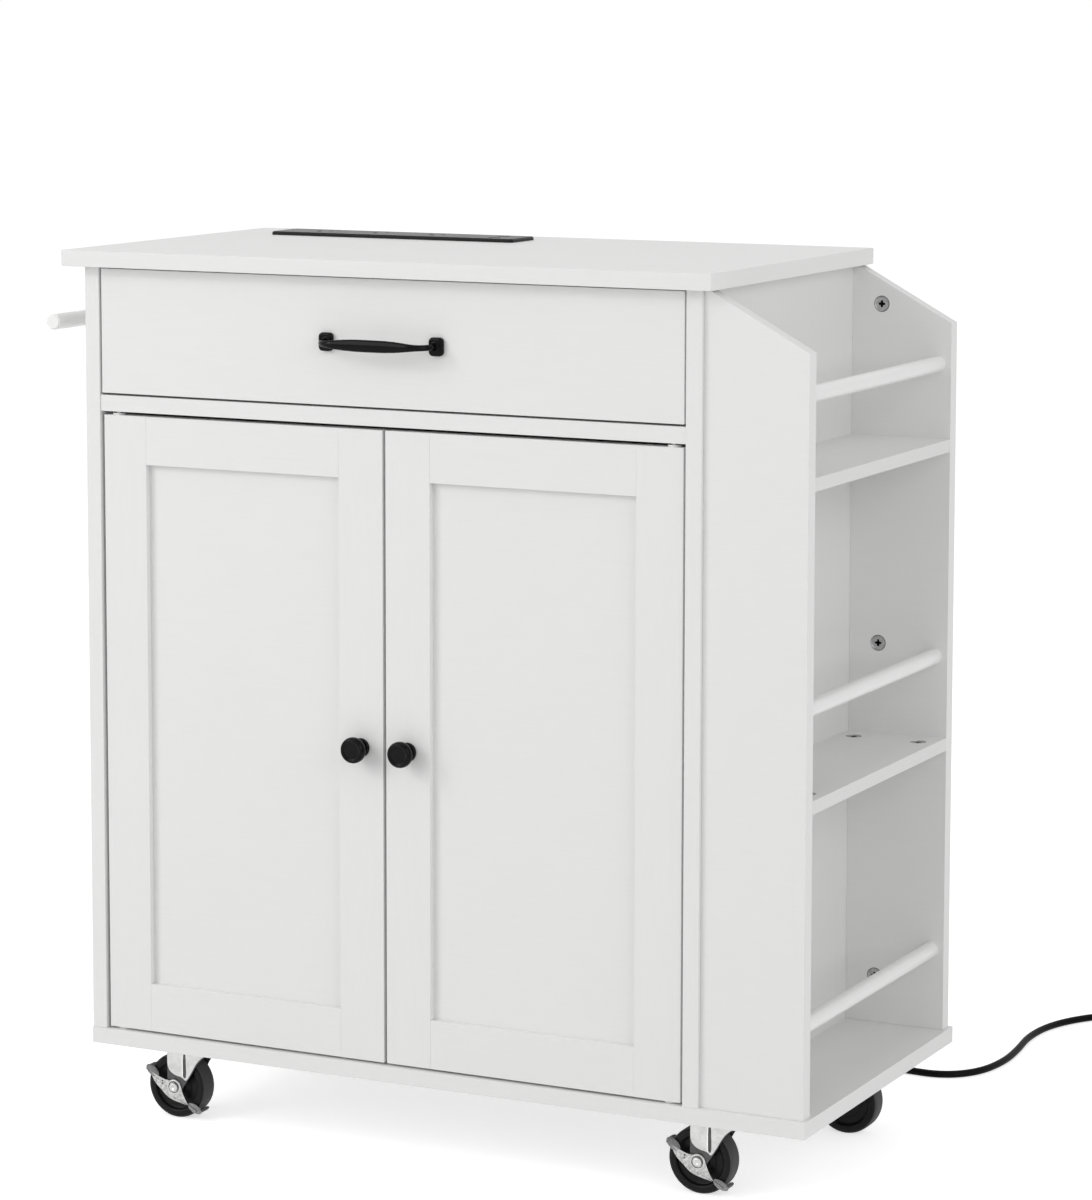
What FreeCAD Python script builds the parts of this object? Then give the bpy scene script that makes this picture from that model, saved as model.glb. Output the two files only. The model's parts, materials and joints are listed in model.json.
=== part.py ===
import FreeCAD, Part
import math
import os
import re
import Sketcher

# A kitchen trolley: a white laminated cabinet with one drawer and a pair of framed doors, an open
# three-shelf rack on its right end, a towel rail on its left end, a power strip let into the top
# and four swivel casters, the front two with a foot brake.
# Millimetres, +Z up, the front looks towards -Y. The origin is on the floor, midway along the width
# and depth of the trolley without its mains cord. Expressions place every piece from the front left
# lower corner of the base board, and the last step of each sub-part moves it to the origin's frame.

# Driving sizes
SIZES = (
    ("board", 15, "thickness of the laminated boards"),
    ("base_width", 728, "base board, left to right"),
    ("base_depth", 365, "base board, front to back"),
    ("carcass_width", 626, "outside of the two side panels"),
    ("carcass_rear", 3, "side panel in front of the base board's rear edge"),
    ("carcass_height", 721, "height of a side panel"),
    ("carcass_setback", 1.5, "side panel behind the base board's front edge"),
    ("top_left", 16.5, "top board past the left side panel"),
    ("top_right", 14.5, "top board past the right side panel"),
    ("top_front", 14.5, "top board past the side panels' front edge"),
    ("drawer_opening", 119.5, "clear height of the drawer opening"),
    ("divider_setback", 1, "divider behind the side panels' front edge"),
    ("back_sheet", 3, "thickness of the back sheet"),
    ("back_inset", 11, "back sheet in front of the side panels' rear edge"),
    ("groove_depth", 5, "groove that holds the back sheet"),
    ("groove_relief", 0.5, "groove deeper than the sheet reaches"),
    ("cable_hole", 16, "hole in the back sheet for the mains cord"),
    ("shelf_height", 285, "cupboard shelf above the base board"),
    ("shelf_setback", 28.5, "cupboard shelf behind the side panels' front edge"),
    ("shelf_side_gap", 0.5, "cupboard shelf to each side panel"),
    ("shelf_back_gap", 1, "cupboard shelf to the back sheet"),
    ("shelf_pin", 5, "diameter of a shelf pin"),
    ("shelf_pin_bite", 8, "length of a shelf pin in the panel, and out of it"),
    ("shelf_pin_inset", 30, "shelf pin from the shelf's front or back edge"),
    ("rest_gap", 0.1, "shelf above its pins"),
    ("rack_width", 98.5, "rack beyond the right side panel"),
    ("rack_setback", 5.5, "rack panel behind the base board's front edge"),
    ("rack_outer_height", 669.5, "rack panel's height at its outer edge"),
    ("rack_flat", 4, "level part of the rack panel's upper edge"),
    ("rack_shelf", 12, "thickness of the rack shelves"),
    ("rack_upper_height", 549.5, "upper rack shelf's underside above the base board"),
    ("rack_middle_height", 268, "middle rack shelf's underside above the base board"),
    ("rail", 15, "diameter of the rack rails"),
    ("rail_inset", 13, "rail axis from the rack panels' outer edge"),
    ("rail_height", 76.5, "lower rail axes above the shelf below them"),
    ("upper_rail_height", 69.5, "upper rail axis above the upper rack shelf"),
    ("cam", 15, "diameter of a cam fitting"),
    ("cam_depth", 9.5, "depth of a cam fitting in its board"),
    ("cam_inset", 29, "cam fitting from the board's end that it pulls tight"),
    ("cam_shelf_inset", 17, "shelf's cam fitting from the shelf's long edge"),
    ("cam_drop", 36, "uppermost cam fitting below the top board"),
    ("cam_rise", 45, "lowest cam fitting above the base board"),
    ("fit_gap", 0.05, "clearance round a fixed pin or fitting"),
    ("running_gap", 0.05, "radial clearance of a turning fit"),
    ("moving_gap", 0.3, "clearance between faces that slide or turn past each other"),
    ("drawer_gap", 2, "drawer front to the cabinet all round"),
    ("drawer_setback", 1, "drawer front behind the side panels' front edge"),
    ("drawer_board", 12, "thickness of the drawer's sides and back"),
    ("drawer_height", 80, "height of the drawer's sides"),
    ("drawer_lift", 11.5, "drawer's sides above the lower edge of its front"),
    ("drawer_rear_gap", 15, "drawer's sides to the power strip's body behind them"),
    ("drawer_sheet", 3, "thickness of the drawer's bottom"),
    ("drawer_sheet_lift", 10, "drawer's bottom above its sides' lower edge"),
    ("drawer_groove", 6, "groove that holds the drawer's bottom"),
    ("runner_space", 13, "room for a runner beside the drawer"),
    ("runner_sheet", 1.2, "thickness of the runner channels"),
    ("runner_height", 36, "height of the fixed runner channel"),
    ("runner_rise", 22, "runner above the lower edge of the drawer's sides"),
    ("runner_flange", 10, "fixed runner channel's reach from the side panel"),
    ("runner_past", 5.5, "fixed runner channel past the rear end of the drawer's sides"),
    ("runner_setback", 1.5, "runner behind the rear face of the drawer front"),
    ("slide_short", 8, "moving runner channel shorter than the fixed one"),
    ("pull_spacing", 112, "drawer pull, centre to centre of its feet"),
    ("pull_centre", 312.5, "middle of the pull from the left side panel's outside"),
    ("pull_drop", 58, "pull's axis below the upper edge of the drawer front"),
    ("pull_foot_width", 14, "width of the pull's foot"),
    ("pull_foot_height", 17, "height of the pull's foot"),
    ("pull_foot_depth", 5, "thickness of the pull's foot"),
    ("pull_foot_round", 4, "corner radius of the pull's foot"),
    ("pull_foot_edge", 1.6, "edge radius of the pull's foot"),
    ("pull_projection", 28, "pull from the drawer front's face"),
    ("pull_grip", 11.4, "height of the pull's grip in the middle"),
    ("pull_thickness", 5, "thickness of the pull's grip in the middle"),
    ("door_board", 15, "thickness of the doors' frames"),
    ("door_setback", 4, "door's face behind the base board's front edge"),
    ("door_gap", 3, "gap beside and between the doors"),
    ("door_floor_gap", 2, "gap below the doors"),
    ("door_head_gap", 3.5, "gap above the doors"),
    ("frame_width", 45, "width of a door's stiles and rails"),
    ("panel_sheet", 5, "thickness of a door's panel"),
    ("panel_recess", 6.5, "door's panel behind its frame's face"),
    ("panel_groove", 6, "groove that holds a door's panel"),
    ("panel_play", 0.2, "groove deeper than the door's panel reaches"),
    ("pivot_inset", 12, "pivot axis from the door's outer edge"),
    ("pivot_pin", 5, "diameter of a pivot pin"),
    ("pivot_bite", 10, "length of a pivot pin in the board, and in the door"),
    ("bushing", 8, "diameter of a pivot bushing's sleeve"),
    ("bushing_length", 12, "length of a pivot bushing's sleeve"),
    ("bushing_flange", 12, "diameter of a pivot bushing's flange"),
    ("knob_height", 292.5, "knob axis above the base board"),
    ("knob_rose", 17.5, "diameter of the knob's rose"),
    ("knob_rose_depth", 3, "thickness of the knob's rose"),
    ("knob_stem", 9, "diameter of the knob's stem"),
    ("knob_disc", 24, "diameter of the knob's head"),
    ("knob_disc_depth", 8, "thickness of the knob's head"),
    ("knob_projection", 20, "knob from the door's face"),
    ("knob_edge", 2.6, "edge radius of the knob's head"),
    ("towel_rail", 15, "diameter of the towel rail"),
    ("towel_offset", 48, "towel rail axis from the left side panel"),
    ("towel_drop", 70.7, "towel rail axis below the top board's upper face"),
    ("towel_length", 322, "length of the towel rail"),
    ("towel_setback", 20, "towel rail's end behind the base board's front edge"),
    ("towel_edge", 1.5, "chamfer of the towel rail's ends"),
    ("towel_arm", 15, "thickness of a towel rail arm"),
    ("towel_arm_height", 26, "height of a towel rail arm at the panel"),
    ("towel_boss", 11.5, "radius of a towel rail arm's eye"),
    ("towel_arm_inset", 100, "towel rail arm from the rail's end"),
    ("strip_left", 45.5, "power strip's cover from the left side panel's outside"),
    ("strip_back", 46, "power strip's cover from the side panels' rear edge"),
    ("strip_length", 264, "length of the power strip's cover"),
    ("strip_depth", 50, "depth of the power strip's cover"),
    ("strip_cover", 3.5, "thickness of the power strip's cover"),
    ("strip_round", 4, "corner radius of the power strip's cover"),
    ("strip_bevel", 1.2, "bevel of the power strip's cover"),
    ("strip_lip", 2.5, "power strip's cover past its body"),
    ("strip_play", 1, "cut-out in the top round the power strip's body"),
    ("strip_height", 45, "height of the power strip's body"),
    ("outlet_spacing", 62, "centre to centre of the outlets"),
    ("outlet_first", 44, "first outlet from the cover's left end"),
    ("outlet_slot", 8, "length of an outlet's slots"),
    ("outlet_slot_width", 2.2, "width of an outlet's slots"),
    ("outlet_slot_spacing", 12.7, "centre to centre of an outlet's slots"),
    ("outlet_ground", 5.2, "diameter of an outlet's ground hole"),
    ("outlet_ground_offset", 11.9, "ground hole from the line of the slots"),
    ("usb_length", 13.2, "length of a charging port"),
    ("usb_width", 5.6, "width of a charging port"),
    ("usb_spacing", 20, "centre to centre of the charging ports"),
    ("usb_inset", 26, "charging ports' middle from the cover's right end"),
    ("relief_right", 29.5, "strain relief from the cover's right end"),
    ("relief_drop", 29, "strain relief's axis below the top board's upper face"),
    ("relief_length", 50, "length of the strain relief"),
    ("relief_root", 13, "diameter of the strain relief at the strip"),
    ("relief_tip", 9, "diameter of the strain relief at the cord"),
    ("caster_height", 80, "height of a caster"),
    ("caster_left", 81, "left casters' stems from the base board's left edge"),
    ("caster_right", 627, "right casters' stems from the base board's left edge"),
    ("caster_front", 65, "front casters' stems from the base board's front edge"),
    ("caster_rear", 300, "rear casters' stems from the base board's front edge"),
    ("caster_trail", 22.5, "axle behind the swivel axis"),
    ("wheel", 62, "diameter of a wheel"),
    ("wheel_width", 21, "width of a wheel's tread"),
    ("wheel_hub", 18, "diameter of a wheel's hub"),
    ("wheel_hub_width", 22.6, "width of a wheel's hub"),
    ("wheel_dish", 3.5, "depth of the dish in a wheel's face"),
    ("wheel_rim", 8, "height of a wheel's rim round the dish"),
    ("wheel_edge", 3, "rounding of a wheel's tread"),
    ("axle", 6, "diameter of an axle"),
    ("axle_head", 9, "diameter of an axle's heads"),
    ("axle_head_depth", 1.5, "thickness of an axle's heads"),
    ("plate_length", 55, "length of a caster's mounting plate"),
    ("plate_width", 45, "width of a caster's mounting plate"),
    ("plate_sheet", 2, "thickness of a caster's mounting plate"),
    ("plate_hole", 5, "diameter of a mounting plate's holes"),
    ("plate_hole_inset", 6, "mounting plate's holes from its edges"),
    ("plate_round", 5, "corner radius of a mounting plate"),
    ("raceway", 42, "diameter of the swivel raceway"),
    ("raceway_neck", 34, "diameter of the swivel raceway's lower edge"),
    ("raceway_depth", 9, "swivel raceway below the base board"),
    ("kingpin", 8, "diameter of the swivel's kingpin"),
    ("kingpin_head", 14, "diameter of the kingpin's head"),
    ("kingpin_head_depth", 2.5, "thickness of the kingpin's head"),
    ("fork_sheet", 2, "thickness of a fork's steel"),
    ("fork_side_gap", 0.4, "fork's legs to the wheel's hub"),
    ("fork_reach", 46, "fork's crown in front of the axle"),
    ("fork_boss", 8, "radius of the fork's leg round the axle"),
    ("fork_rib", 10.8, "stiffening rib in front of the axle"),
    ("fork_rib_width", 1.8, "width of the stiffening rib"),
    ("fork_rib_depth", 0.8, "height of the stiffening rib"),
    ("lever_sheet", 1.5, "thickness of a brake lever"),
    ("lever_reach", 35.5, "reach of a brake lever's pedals from the axle"),
    ("pedal_width", 21, "pedal's reach across the wheel"),
    ("pedal_neck", 4, "depth of the narrow part that joins a pedal to its plate"),
    ("cord", 7, "diameter of the mains cord"),
    ("floor_gap", 0.2, "cord above the floor"),
    ("coil_pitch", 7.7, "step from one turn of the coil to the next"),
    ("coil_inner", 29.5, "radius of the coil's innermost turn"),
    ("coil_east", 470.75, "coil's centre from the origin, to the right"),
    ("coil_north", 605.25, "coil's centre from the origin, to the back"),
    ("plug_relief", 22, "length of the plug's strain relief"),
    ("plug_relief_root", 12, "diameter of the plug's strain relief at its body"),
    ("plug_length", 36, "length of the plug's body"),
    ("plug_width", 26, "width and height of the plug's body"),
    ("plug_round", 5, "corner radius of the plug's body"),
    ("plug_floor_gap", 0.4, "plug above the floor"),
    ("blade_length", 17, "length of the plug's blades"),
    ("blade_height", 6.3, "width of the plug's blades"),
    ("blade_sheet", 1.5, "thickness of the plug's blades"),
    ("blade_inset", 9, "plug's blades above its lower side"),
    ("ground_pin", 4.8, "diameter of the plug's ground pin"),
    ("ground_pin_length", 20, "length of the plug's ground pin"),
)

# Places worked out from the driving sizes
PLACES = (
    ("inner_right", "carcass_width - board", "inner face of the right side panel"),
    ("side_rear", "base_depth - carcass_rear", "side panels' rear edge"),
    ("side_top", "board + carcass_height", "side panels' upper edge"),
    ("worktop", "side_top + board", "top board's upper face"),
    ("divider_top", "side_top - drawer_opening", "divider's upper face"),
    ("divider_under", "divider_top - board", "divider's lower face"),
    ("divider_front", "carcass_setback + divider_setback", "divider's front edge"),
    ("sheet_rear", "side_rear - back_inset", "back sheet's rear face"),
    ("sheet_front", "sheet_rear - back_sheet", "back sheet's front face"),
    ("shelf_under", "board + shelf_height", "cupboard shelf's lower face"),
    ("shelf_front", "carcass_setback + shelf_setback", "cupboard shelf's front edge"),
    ("shelf_rear", "sheet_front - shelf_back_gap", "cupboard shelf's back edge"),
    ("rack_outer", "carcass_width + rack_width", "rack's outer edge"),
    ("rack_near", "rack_setback + board", "rear face of the rack's front panel"),
    ("rack_far", "side_rear - board", "front face of the rack's back panel"),
    ("rack_upper_under", "board + rack_upper_height", "upper rack shelf's lower face"),
    ("rack_middle_under", "board + rack_middle_height", "middle rack shelf's lower face"),
    ("strip_front", "side_rear - strip_back - strip_depth", "front of the strip's cover"),
    ("drawer_face", "carcass_setback + drawer_setback", "drawer front's face"),
    ("drawer_near", "drawer_face + board", "drawer front's rear face"),
    ("drawer_far", "strip_front + strip_lip - drawer_rear_gap", "rear end of the drawer's sides"),
    ("drawer_under", "divider_top + drawer_gap + drawer_lift", "drawer's sides' lower edge"),
    ("drawer_floor", "drawer_under + drawer_sheet_lift", "drawer's bottom's lower face"),
    ("drawer_left", "board + runner_space", "left face of the drawer's left side"),
    ("drawer_right", "inner_right - runner_space", "right face of the drawer's right side"),
    ("runner_under", "drawer_under + runner_rise", "runners' lower edge"),
    ("runner_front", "drawer_near + runner_setback", "runners' front end"),
    ("runner_length", "drawer_far + runner_past - runner_front", "length of a fixed runner"),
    ("door_under", "board + door_floor_gap", "doors' lower edge"),
    ("door_top", "divider_under - door_head_gap", "doors' upper edge"),
    ("door_width", "(inner_right - board - 3 * door_gap) / 2", "width of one door"),
    ("pivot_depth", "door_setback + door_board / 2", "pivot axis behind the base's front"),
    ("flange_depth", "door_floor_gap - moving_gap", "thickness of a bushing's flange"),
    ("strip_rear", "side_rear - strip_back - strip_lip", "rear of the strip's body"),
    ("strip_axis", "strip_front + strip_depth / 2", "middle of the strip's depth"),
    ("axle_drop", "caster_height - wheel / 2", "axle below the base board"),
    ("crown_drop", "raceway_depth + moving_gap", "fork's crown below the base board"),
    ("leg_inner", "wheel_hub_width / 2 + fork_side_gap", "fork leg from the wheel's middle"),
    ("leg_outer", "leg_inner + fork_sheet", "outside of a fork's leg"),
    ("lever_inner", "leg_outer + moving_gap", "brake lever's face beside the leg"),
    ("lever_outer", "lever_inner + lever_sheet", "brake lever's outer face"),
    ("datum_right", "(towel_offset + towel_boss - base_width) / 2", "shift to the origin's frame"),
    ("datum_back", "(pull_projection - drawer_face - base_depth) / 2", "shift to the origin's frame"),
)

# Shapes as shares of the sizes that they follow
# Pull: along half its spacing, out from the face, lean towards the bar, height and thickness of it
PULL_SHARES = (
    (0, 0.1, 0, 0.80, 1.6),
    (0.02, 0.36, 0.05, 0.54, 1.15),
    (0.07, 0.66, 0.30, 0.49, 1),
    (0.20, 0.86, 0.72, 0.55, 0.9),
    (0.44, 0.905, 0.95, 0.80, 0.94),
    (1, 0.91, 1, 1, 1),
)
# Front edge of a fork's leg: along the fork's reach, up the leg from the axle
LEG_SHARES = ((1, 0.93), (0.69, 0.77), (0.45, 0.41))
# Outline of a brake lever: from the axle to the right and up, of its reach
LEVER_SHARES = (
    (-0.713, 0.338), (-0.594, 0.301), (-0.349, 0.220), (-0.245, 0.187), (0.037, 0.189),
    (0.158, 0.158), (0.228, 0.070), (0.273, -0.101), (0.335, -0.237), (0.439, -0.417),
    (0.518, -0.484), (0.406, -0.470), (0.161, -0.423), (-0.101, -0.361), (-0.279, -0.254),
    (-0.420, -0.110), (-0.577, 0.014), (-0.665, 0.146), (-0.778, 0.364),
)
# Upper face of a brake lever's two pedals: where it leaves the plate and its outer edge, to the
# right and up, and the part of the way between them that stays narrow beside the wheel
PEDAL_SHARES = (
    ((-0.713, 0.338), (-0.890, 0.479), 0.47),
    ((0.439, -0.417), (0.794, -0.614), 0.722),
)
# Part of a cord's shorter run that an arc takes up at each end of it
ARC_SHARE = 0.45
# Climb per unit of travel at the coil's reversing point
CLIMB_SHARE = 0.12

# Mains cord: points of its route from the strain relief to the coil, chosen by eye, in the
# origin's frame. The point itself lies outside the curve that rounds it.
CORD_ROUTE = (
    (-54.25, 193.75, 802), (-54.25, 228.25, 802), (-53.25, 251.25, 783), (-53.25, 263.25, 748),
    (-51.25, 270.25, 690), (-46.25, 276.25, 610), (-42.25, 279.25, 520), (-40.25, 283.25, 430),
    (-35.25, 285.25, 340), (-31.25, 289.25, 250), (-25.25, 291.25, 165), (-18.25, 294.25, 95),
    (-4.25, 297.25, 45), (21.75, 300.25, 12), (57.75, 304.25, 3.7), (105.75, 316.25, 3.7),
    (165.75, 335.25, 3.7), (225.75, 344.25, 3.7), (283.75, 342.25, 3.7), (329.75, 338.25, 3.7),
    (358.75, 366.25, 3.7), (367.75, 415.25, 3.7), (364.75, 464.25, 3.7), (357.75, 514.25, 3.7),
    (361.75, 565.25, 3.7), (382.75, 611.25, 3.7), (420.75, 650.15, 3.7), (463.75, 650.15, 3.7),
)
COIL_QUARTERS = 17
COIL_MIDDLE = 8
SMALL = 1e-6

doc = FreeCAD.newDocument("kitchen_trolley")
sheet = doc.addObject("Spreadsheet::Sheet", "Size")
places = doc.addObject("App::VarSet", "Place")
owners = {}
for row, (name, number, note) in enumerate(SIZES, start=1):
    sheet.set(f"A{row}", note)
    sheet.set(f"B{row}", str(number))
    sheet.setAlias(f"B{row}", name)
    owners[name] = "Size"
doc.recompute()


def full(expression):
    """Name the owner of each size or place in an expression."""
    def owned(match):
        word = match.group(0)
        return f"{owners[word]}.{word}" if word in owners else word
    return re.sub(r"[a-z_][a-z_0-9]*", owned, str(expression))


for name, expression, note in PLACES:
    places.addProperty("App::PropertyFloat", name, "Places", note)
    places.setExpression(name, full(expression))
    owners[name] = "Place"
doc.recompute()


def value(expression):
    """The present value of an expression."""
    return float(sheet.evalExpression(full(expression)))


# Helpers that make bound objects. A corner is kept until the sub-part is moved to the origin.
corners = {}
sub_parts = {}


def seat(item, x="0", y="0", z="0"):
    """Bind an object's place."""
    corners[item.Name] = (x, y, z)
    for axis, expression in zip("xyz", (x, y, z)):
        item.setExpression(f".Placement.Base.{axis}", full(expression))
    return item


def sub_part(label, item):
    """Label a finished sub-part and move it to the origin's frame."""
    x, y, z = corners.get(item.Name, ("0", "0", "0"))
    seat(item, f"({x}) + datum_right", f"({y}) + datum_back", f"({z}) + caster_height")
    item.Label = label
    sub_parts[label] = item
    return item


def box(x_span, y_span, z_span):
    """A block between two expressions along each axis."""
    item = doc.addObject("Part::Box", "Block")
    for side, span in zip(("Length", "Width", "Height"), (x_span, y_span, z_span)):
        item.setExpression(side, full(f"({span[1]}) - ({span[0]})"))
    return seat(item, x_span[0], y_span[0], z_span[0])


AXES = {
    "x": FreeCAD.Rotation(FreeCAD.Vector(0, 1, 0), 90),
    "y": FreeCAD.Rotation(FreeCAD.Vector(1, 0, 0), -90),
    "z": FreeCAD.Rotation(),
}


def rod(axis, start, length, diameter):
    """A round bar from a start point along an axis."""
    item = doc.addObject("Part::Cylinder", "Rod")
    item.Placement = FreeCAD.Placement(FreeCAD.Vector(), AXES[axis])
    item.setExpression("Radius", full(f"({diameter}) / 2"))
    item.setExpression("Height", full(length))
    return seat(item, *start)


def cone(axis, start, length, diameter, far_diameter):
    """A tapered round bar from a start point along an axis."""
    item = doc.addObject("Part::Cone", "Cone")
    item.Placement = FreeCAD.Placement(FreeCAD.Vector(), AXES[axis])
    item.setExpression("Radius1", full(f"({diameter}) / 2"))
    item.setExpression("Radius2", full(f"({far_diameter}) / 2"))
    item.setExpression("Height", full(length))
    return seat(item, *start)


def group(*pieces):
    """Separate solids kept together."""
    item = doc.addObject("Part::Compound", "Group")
    item.Links = list(pieces)
    return item


def join(*pieces):
    """Touching solids made one."""
    item = doc.addObject("Part::MultiFuse", "Join")
    item.Shapes = list(pieces)
    item.Refine = True
    return item


def cut(base, *tools):
    """A solid less its tools, which don't overlap each other."""
    item = doc.addObject("Part::Cut", "Cut")
    item.Base = base
    item.Tool = tools[0] if len(tools) == 1 else group(*tools)
    return item


def new_body(name):
    return doc.addObject("PartDesign::Body", name)


def origin_plane(body, role):
    return next(item for item in body.Origin.OriginFeatures if item.Role == role)


def new_sketch(body, role, offset="0"):
    """An empty sketch on one of a body's origin planes, or level with it at an offset."""
    drawing = body.newObject("Sketcher::SketchObject", "Sketch")
    drawing.AttachmentSupport = [(origin_plane(body, role), "")]
    drawing.MapMode = "FlatFace"
    drawing.setExpression(".AttachmentOffset.Base.z", full(offset))
    return drawing


def fix_point(drawing, geometry, end, x, y):
    """Tie a point of a sketch to the sketch's axes by two expressions."""
    for axis, rule, expression in ((-2, "DistanceX", x), (-1, "DistanceY", y)):
        size = value(expression)
        if abs(size) < SMALL:
            drawing.addConstraint(Sketcher.Constraint("PointOnObject", geometry, end, axis))
            continue
        if size > 0:
            rule_set = Sketcher.Constraint(rule, -1, 1, geometry, end, size)
            bound = expression
        else:
            rule_set = Sketcher.Constraint(rule, geometry, end, -1, 1, -size)
            bound = f"-({expression})"
        number = drawing.addConstraint(rule_set)
        drawing.setExpression(f"Constraints[{number}]", full(bound))


def polygon(drawing, points):
    """A closed outline through points given as pairs of expressions."""
    spots = [FreeCAD.Vector(value(x), value(y), 0) for x, y in points]
    first = drawing.GeometryCount
    count = len(points)
    for index in range(count):
        drawing.addGeometry(Part.LineSegment(spots[index], spots[(index + 1) % count]), False)
    for index in range(count):
        following = first + (index + 1) % count
        drawing.addConstraint(Sketcher.Constraint("Coincident", first + index, 2, following, 1))
    for index, (x, y) in enumerate(points):
        fix_point(drawing, first + index, 1, x, y)


def rectangle(drawing, x_span, y_span):
    corners_round = [(x_span[0], y_span[0]), (x_span[1], y_span[0])]
    polygon(drawing, corners_round + [(x_span[1], y_span[1]), (x_span[0], y_span[1])])


def circle(drawing, x, y, diameter):
    """A full circle with its centre and radius bound."""
    centre = FreeCAD.Vector(value(x), value(y), 0)
    shape = Part.Circle(centre, FreeCAD.Vector(0, 0, 1), value(diameter) / 2)
    number = drawing.addGeometry(shape, False)
    fix_point(drawing, number, 3, x, y)
    rule = drawing.addConstraint(Sketcher.Constraint("Radius", number, value(diameter) / 2))
    drawing.setExpression(f"Constraints[{rule}]", full(f"({diameter}) / 2"))


def pad(body, drawing, length, back=False):
    """Thicken a sketch along its normal, or against it."""
    feature = body.newObject("PartDesign::Pad", "Pad")
    feature.Profile = drawing
    feature.setExpression("Length", full(length))
    feature.Reversed = back
    return feature


def pocket(body, drawing, length, back=False):
    """Cut a sketch into the body and make sure that it took material away."""
    doc.recompute()
    before = body.Shape.Volume
    feature = body.newObject("PartDesign::Pocket", "Pocket")
    feature.Profile = drawing
    feature.setExpression("Length", full(length))
    feature.Reversed = back
    doc.recompute()
    if body.Shape.Volume > before - SMALL:
        raise RuntimeError(f"{body.Name}: a pocket cuts nothing")
    return feature


def revolve(body, drawing, axis):
    """Turn a sketch once round one of its own axes."""
    feature = body.newObject("PartDesign::Revolution", "Revolution")
    feature.Profile = drawing
    feature.ReferenceAxis = (drawing, [axis])
    return feature


def dress(body, kind, size_name, size, chosen):
    """Round or bevel the edges of a body that a test picks."""
    doc.recompute()
    base = body.Tip
    edges = [f"Edge{i}" for i, edge in enumerate(base.Shape.Edges, start=1) if chosen(edge)]
    if not edges:
        raise RuntimeError(f"{body.Name}: no edge to dress")
    feature = body.newObject(f"PartDesign::{kind}", kind)
    feature.Base = (base, edges)
    feature.setExpression(size_name, full(size))
    return feature


def round_edges(body, radius, chosen):
    return dress(body, "Fillet", "Radius", radius, chosen)


def along(edge, direction):
    """True for a straight edge along a direction."""
    if not isinstance(edge.Curve, Part.Line):
        return False
    return abs(abs(edge.Curve.Direction.dot(direction)) - 1) < SMALL


def level(edge, axis, place):
    """True for an edge that lies wholly at one place along an axis."""
    bounds = edge.BoundBox
    low = getattr(bounds, f"{axis}Min")
    high = getattr(bounds, f"{axis}Max")
    return abs(low - place) < SMALL and abs(high - place) < SMALL


X_WAY = FreeCAD.Vector(1, 0, 0)
Y_WAY = FreeCAD.Vector(0, 1, 0)
Z_WAY = FreeCAD.Vector(0, 0, 1)


# Cabinet: base, sides, divider, top, back sheet
def sheet_box(low_x, high_x, low_z, high_z):
    """A block as thick as the back sheet, where the sheet stands."""
    return box((low_x, high_x), ("sheet_front", "sheet_rear"), (low_z, high_z))


def door_sides():
    """Sign towards the cabinet's middle, outer edge and pivot axis of the two doors."""
    left = "board + door_gap"
    right = "inner_right - door_gap"
    return ((1, left, f"{left} + pivot_inset"), (-1, right, f"{right} - pivot_inset"))


def pivot_rods(start, length, diameter):
    """Upright rods on both doors' pivot axes."""
    return [rod("z", (axis, "pivot_depth", start), length, diameter)
            for _, _, axis in door_sides()]


def make_base_board():
    board = box(("0", "base_width"), ("0", "base_depth"), ("0", "board"))
    groove = sheet_box("board - groove_depth", "inner_right + groove_depth",
                       "board - groove_depth - groove_relief", "board")
    sockets = pivot_rods("board - pivot_bite", "pivot_bite", "pivot_pin + 2 * fit_gap")
    sub_part("base_board", cut(board, groove, *sockets))


def make_divider():
    board = box(("board", "inner_right"), ("divider_front", "sheet_front"),
                ("divider_under", "divider_top"))
    sockets = pivot_rods("divider_under", "pivot_bite", "pivot_pin + 2 * fit_gap")
    sub_part("divider_board", cut(board, *sockets))


def shelf_pin_rows():
    return ("shelf_front + shelf_pin_inset", "shelf_rear - shelf_pin_inset")


def shelf_pin_rods(start, length, diameter):
    """Rods along X at the shelf pins' places, from a start across the cabinet."""
    height = "shelf_under - rest_gap - shelf_pin / 2"
    return [rod("x", (start, row, height), length, diameter) for row in shelf_pin_rows()]


def make_side_panels():
    hole = "shelf_pin + 2 * fit_gap"
    for label, near, far, groove, pin in (
        ("left_side_panel", "0", "board",
         ("board - groove_depth - groove_relief", "board"), "board - shelf_pin_bite"),
        ("right_side_panel", "inner_right", "carcass_width",
         ("inner_right", "inner_right + groove_depth + groove_relief"), "inner_right"),
    ):
        panel = box((near, far), ("carcass_setback", "side_rear"), ("board", "side_top"))
        slot = sheet_box(*groove, "board", "side_top")
        holes = shelf_pin_rods(pin, "shelf_pin_bite", hole)
        sub_part(label, cut(panel, slot, *holes))


def make_shelf():
    board = box(("board + shelf_side_gap", "inner_right - shelf_side_gap"),
                ("shelf_front", "shelf_rear"), ("shelf_under", "shelf_under + board"))
    sub_part("cupboard_shelf", board)
    pins = shelf_pin_rods("board - shelf_pin_bite", "2 * shelf_pin_bite", "shelf_pin")
    pins += shelf_pin_rods("inner_right - shelf_pin_bite", "2 * shelf_pin_bite", "shelf_pin")
    sub_part("shelf_pins", group(*pins))


def make_top_board():
    board = box(("-top_left", "carcass_width + top_right"),
                ("carcass_setback - top_front", "side_rear"), ("side_top", "worktop"))
    groove = sheet_box("board - groove_depth", "inner_right + groove_depth",
                       "side_top", "side_top + groove_depth + groove_relief")
    lip = "(strip_lip - strip_play)"
    opening = box((f"strip_left + {lip}", f"strip_left + strip_length - {lip}"),
                  (f"strip_front + {lip}", f"strip_front + strip_depth - {lip}"),
                  ("side_top", "worktop"))
    sub_part("top_board", cut(board, groove, opening))


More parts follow.
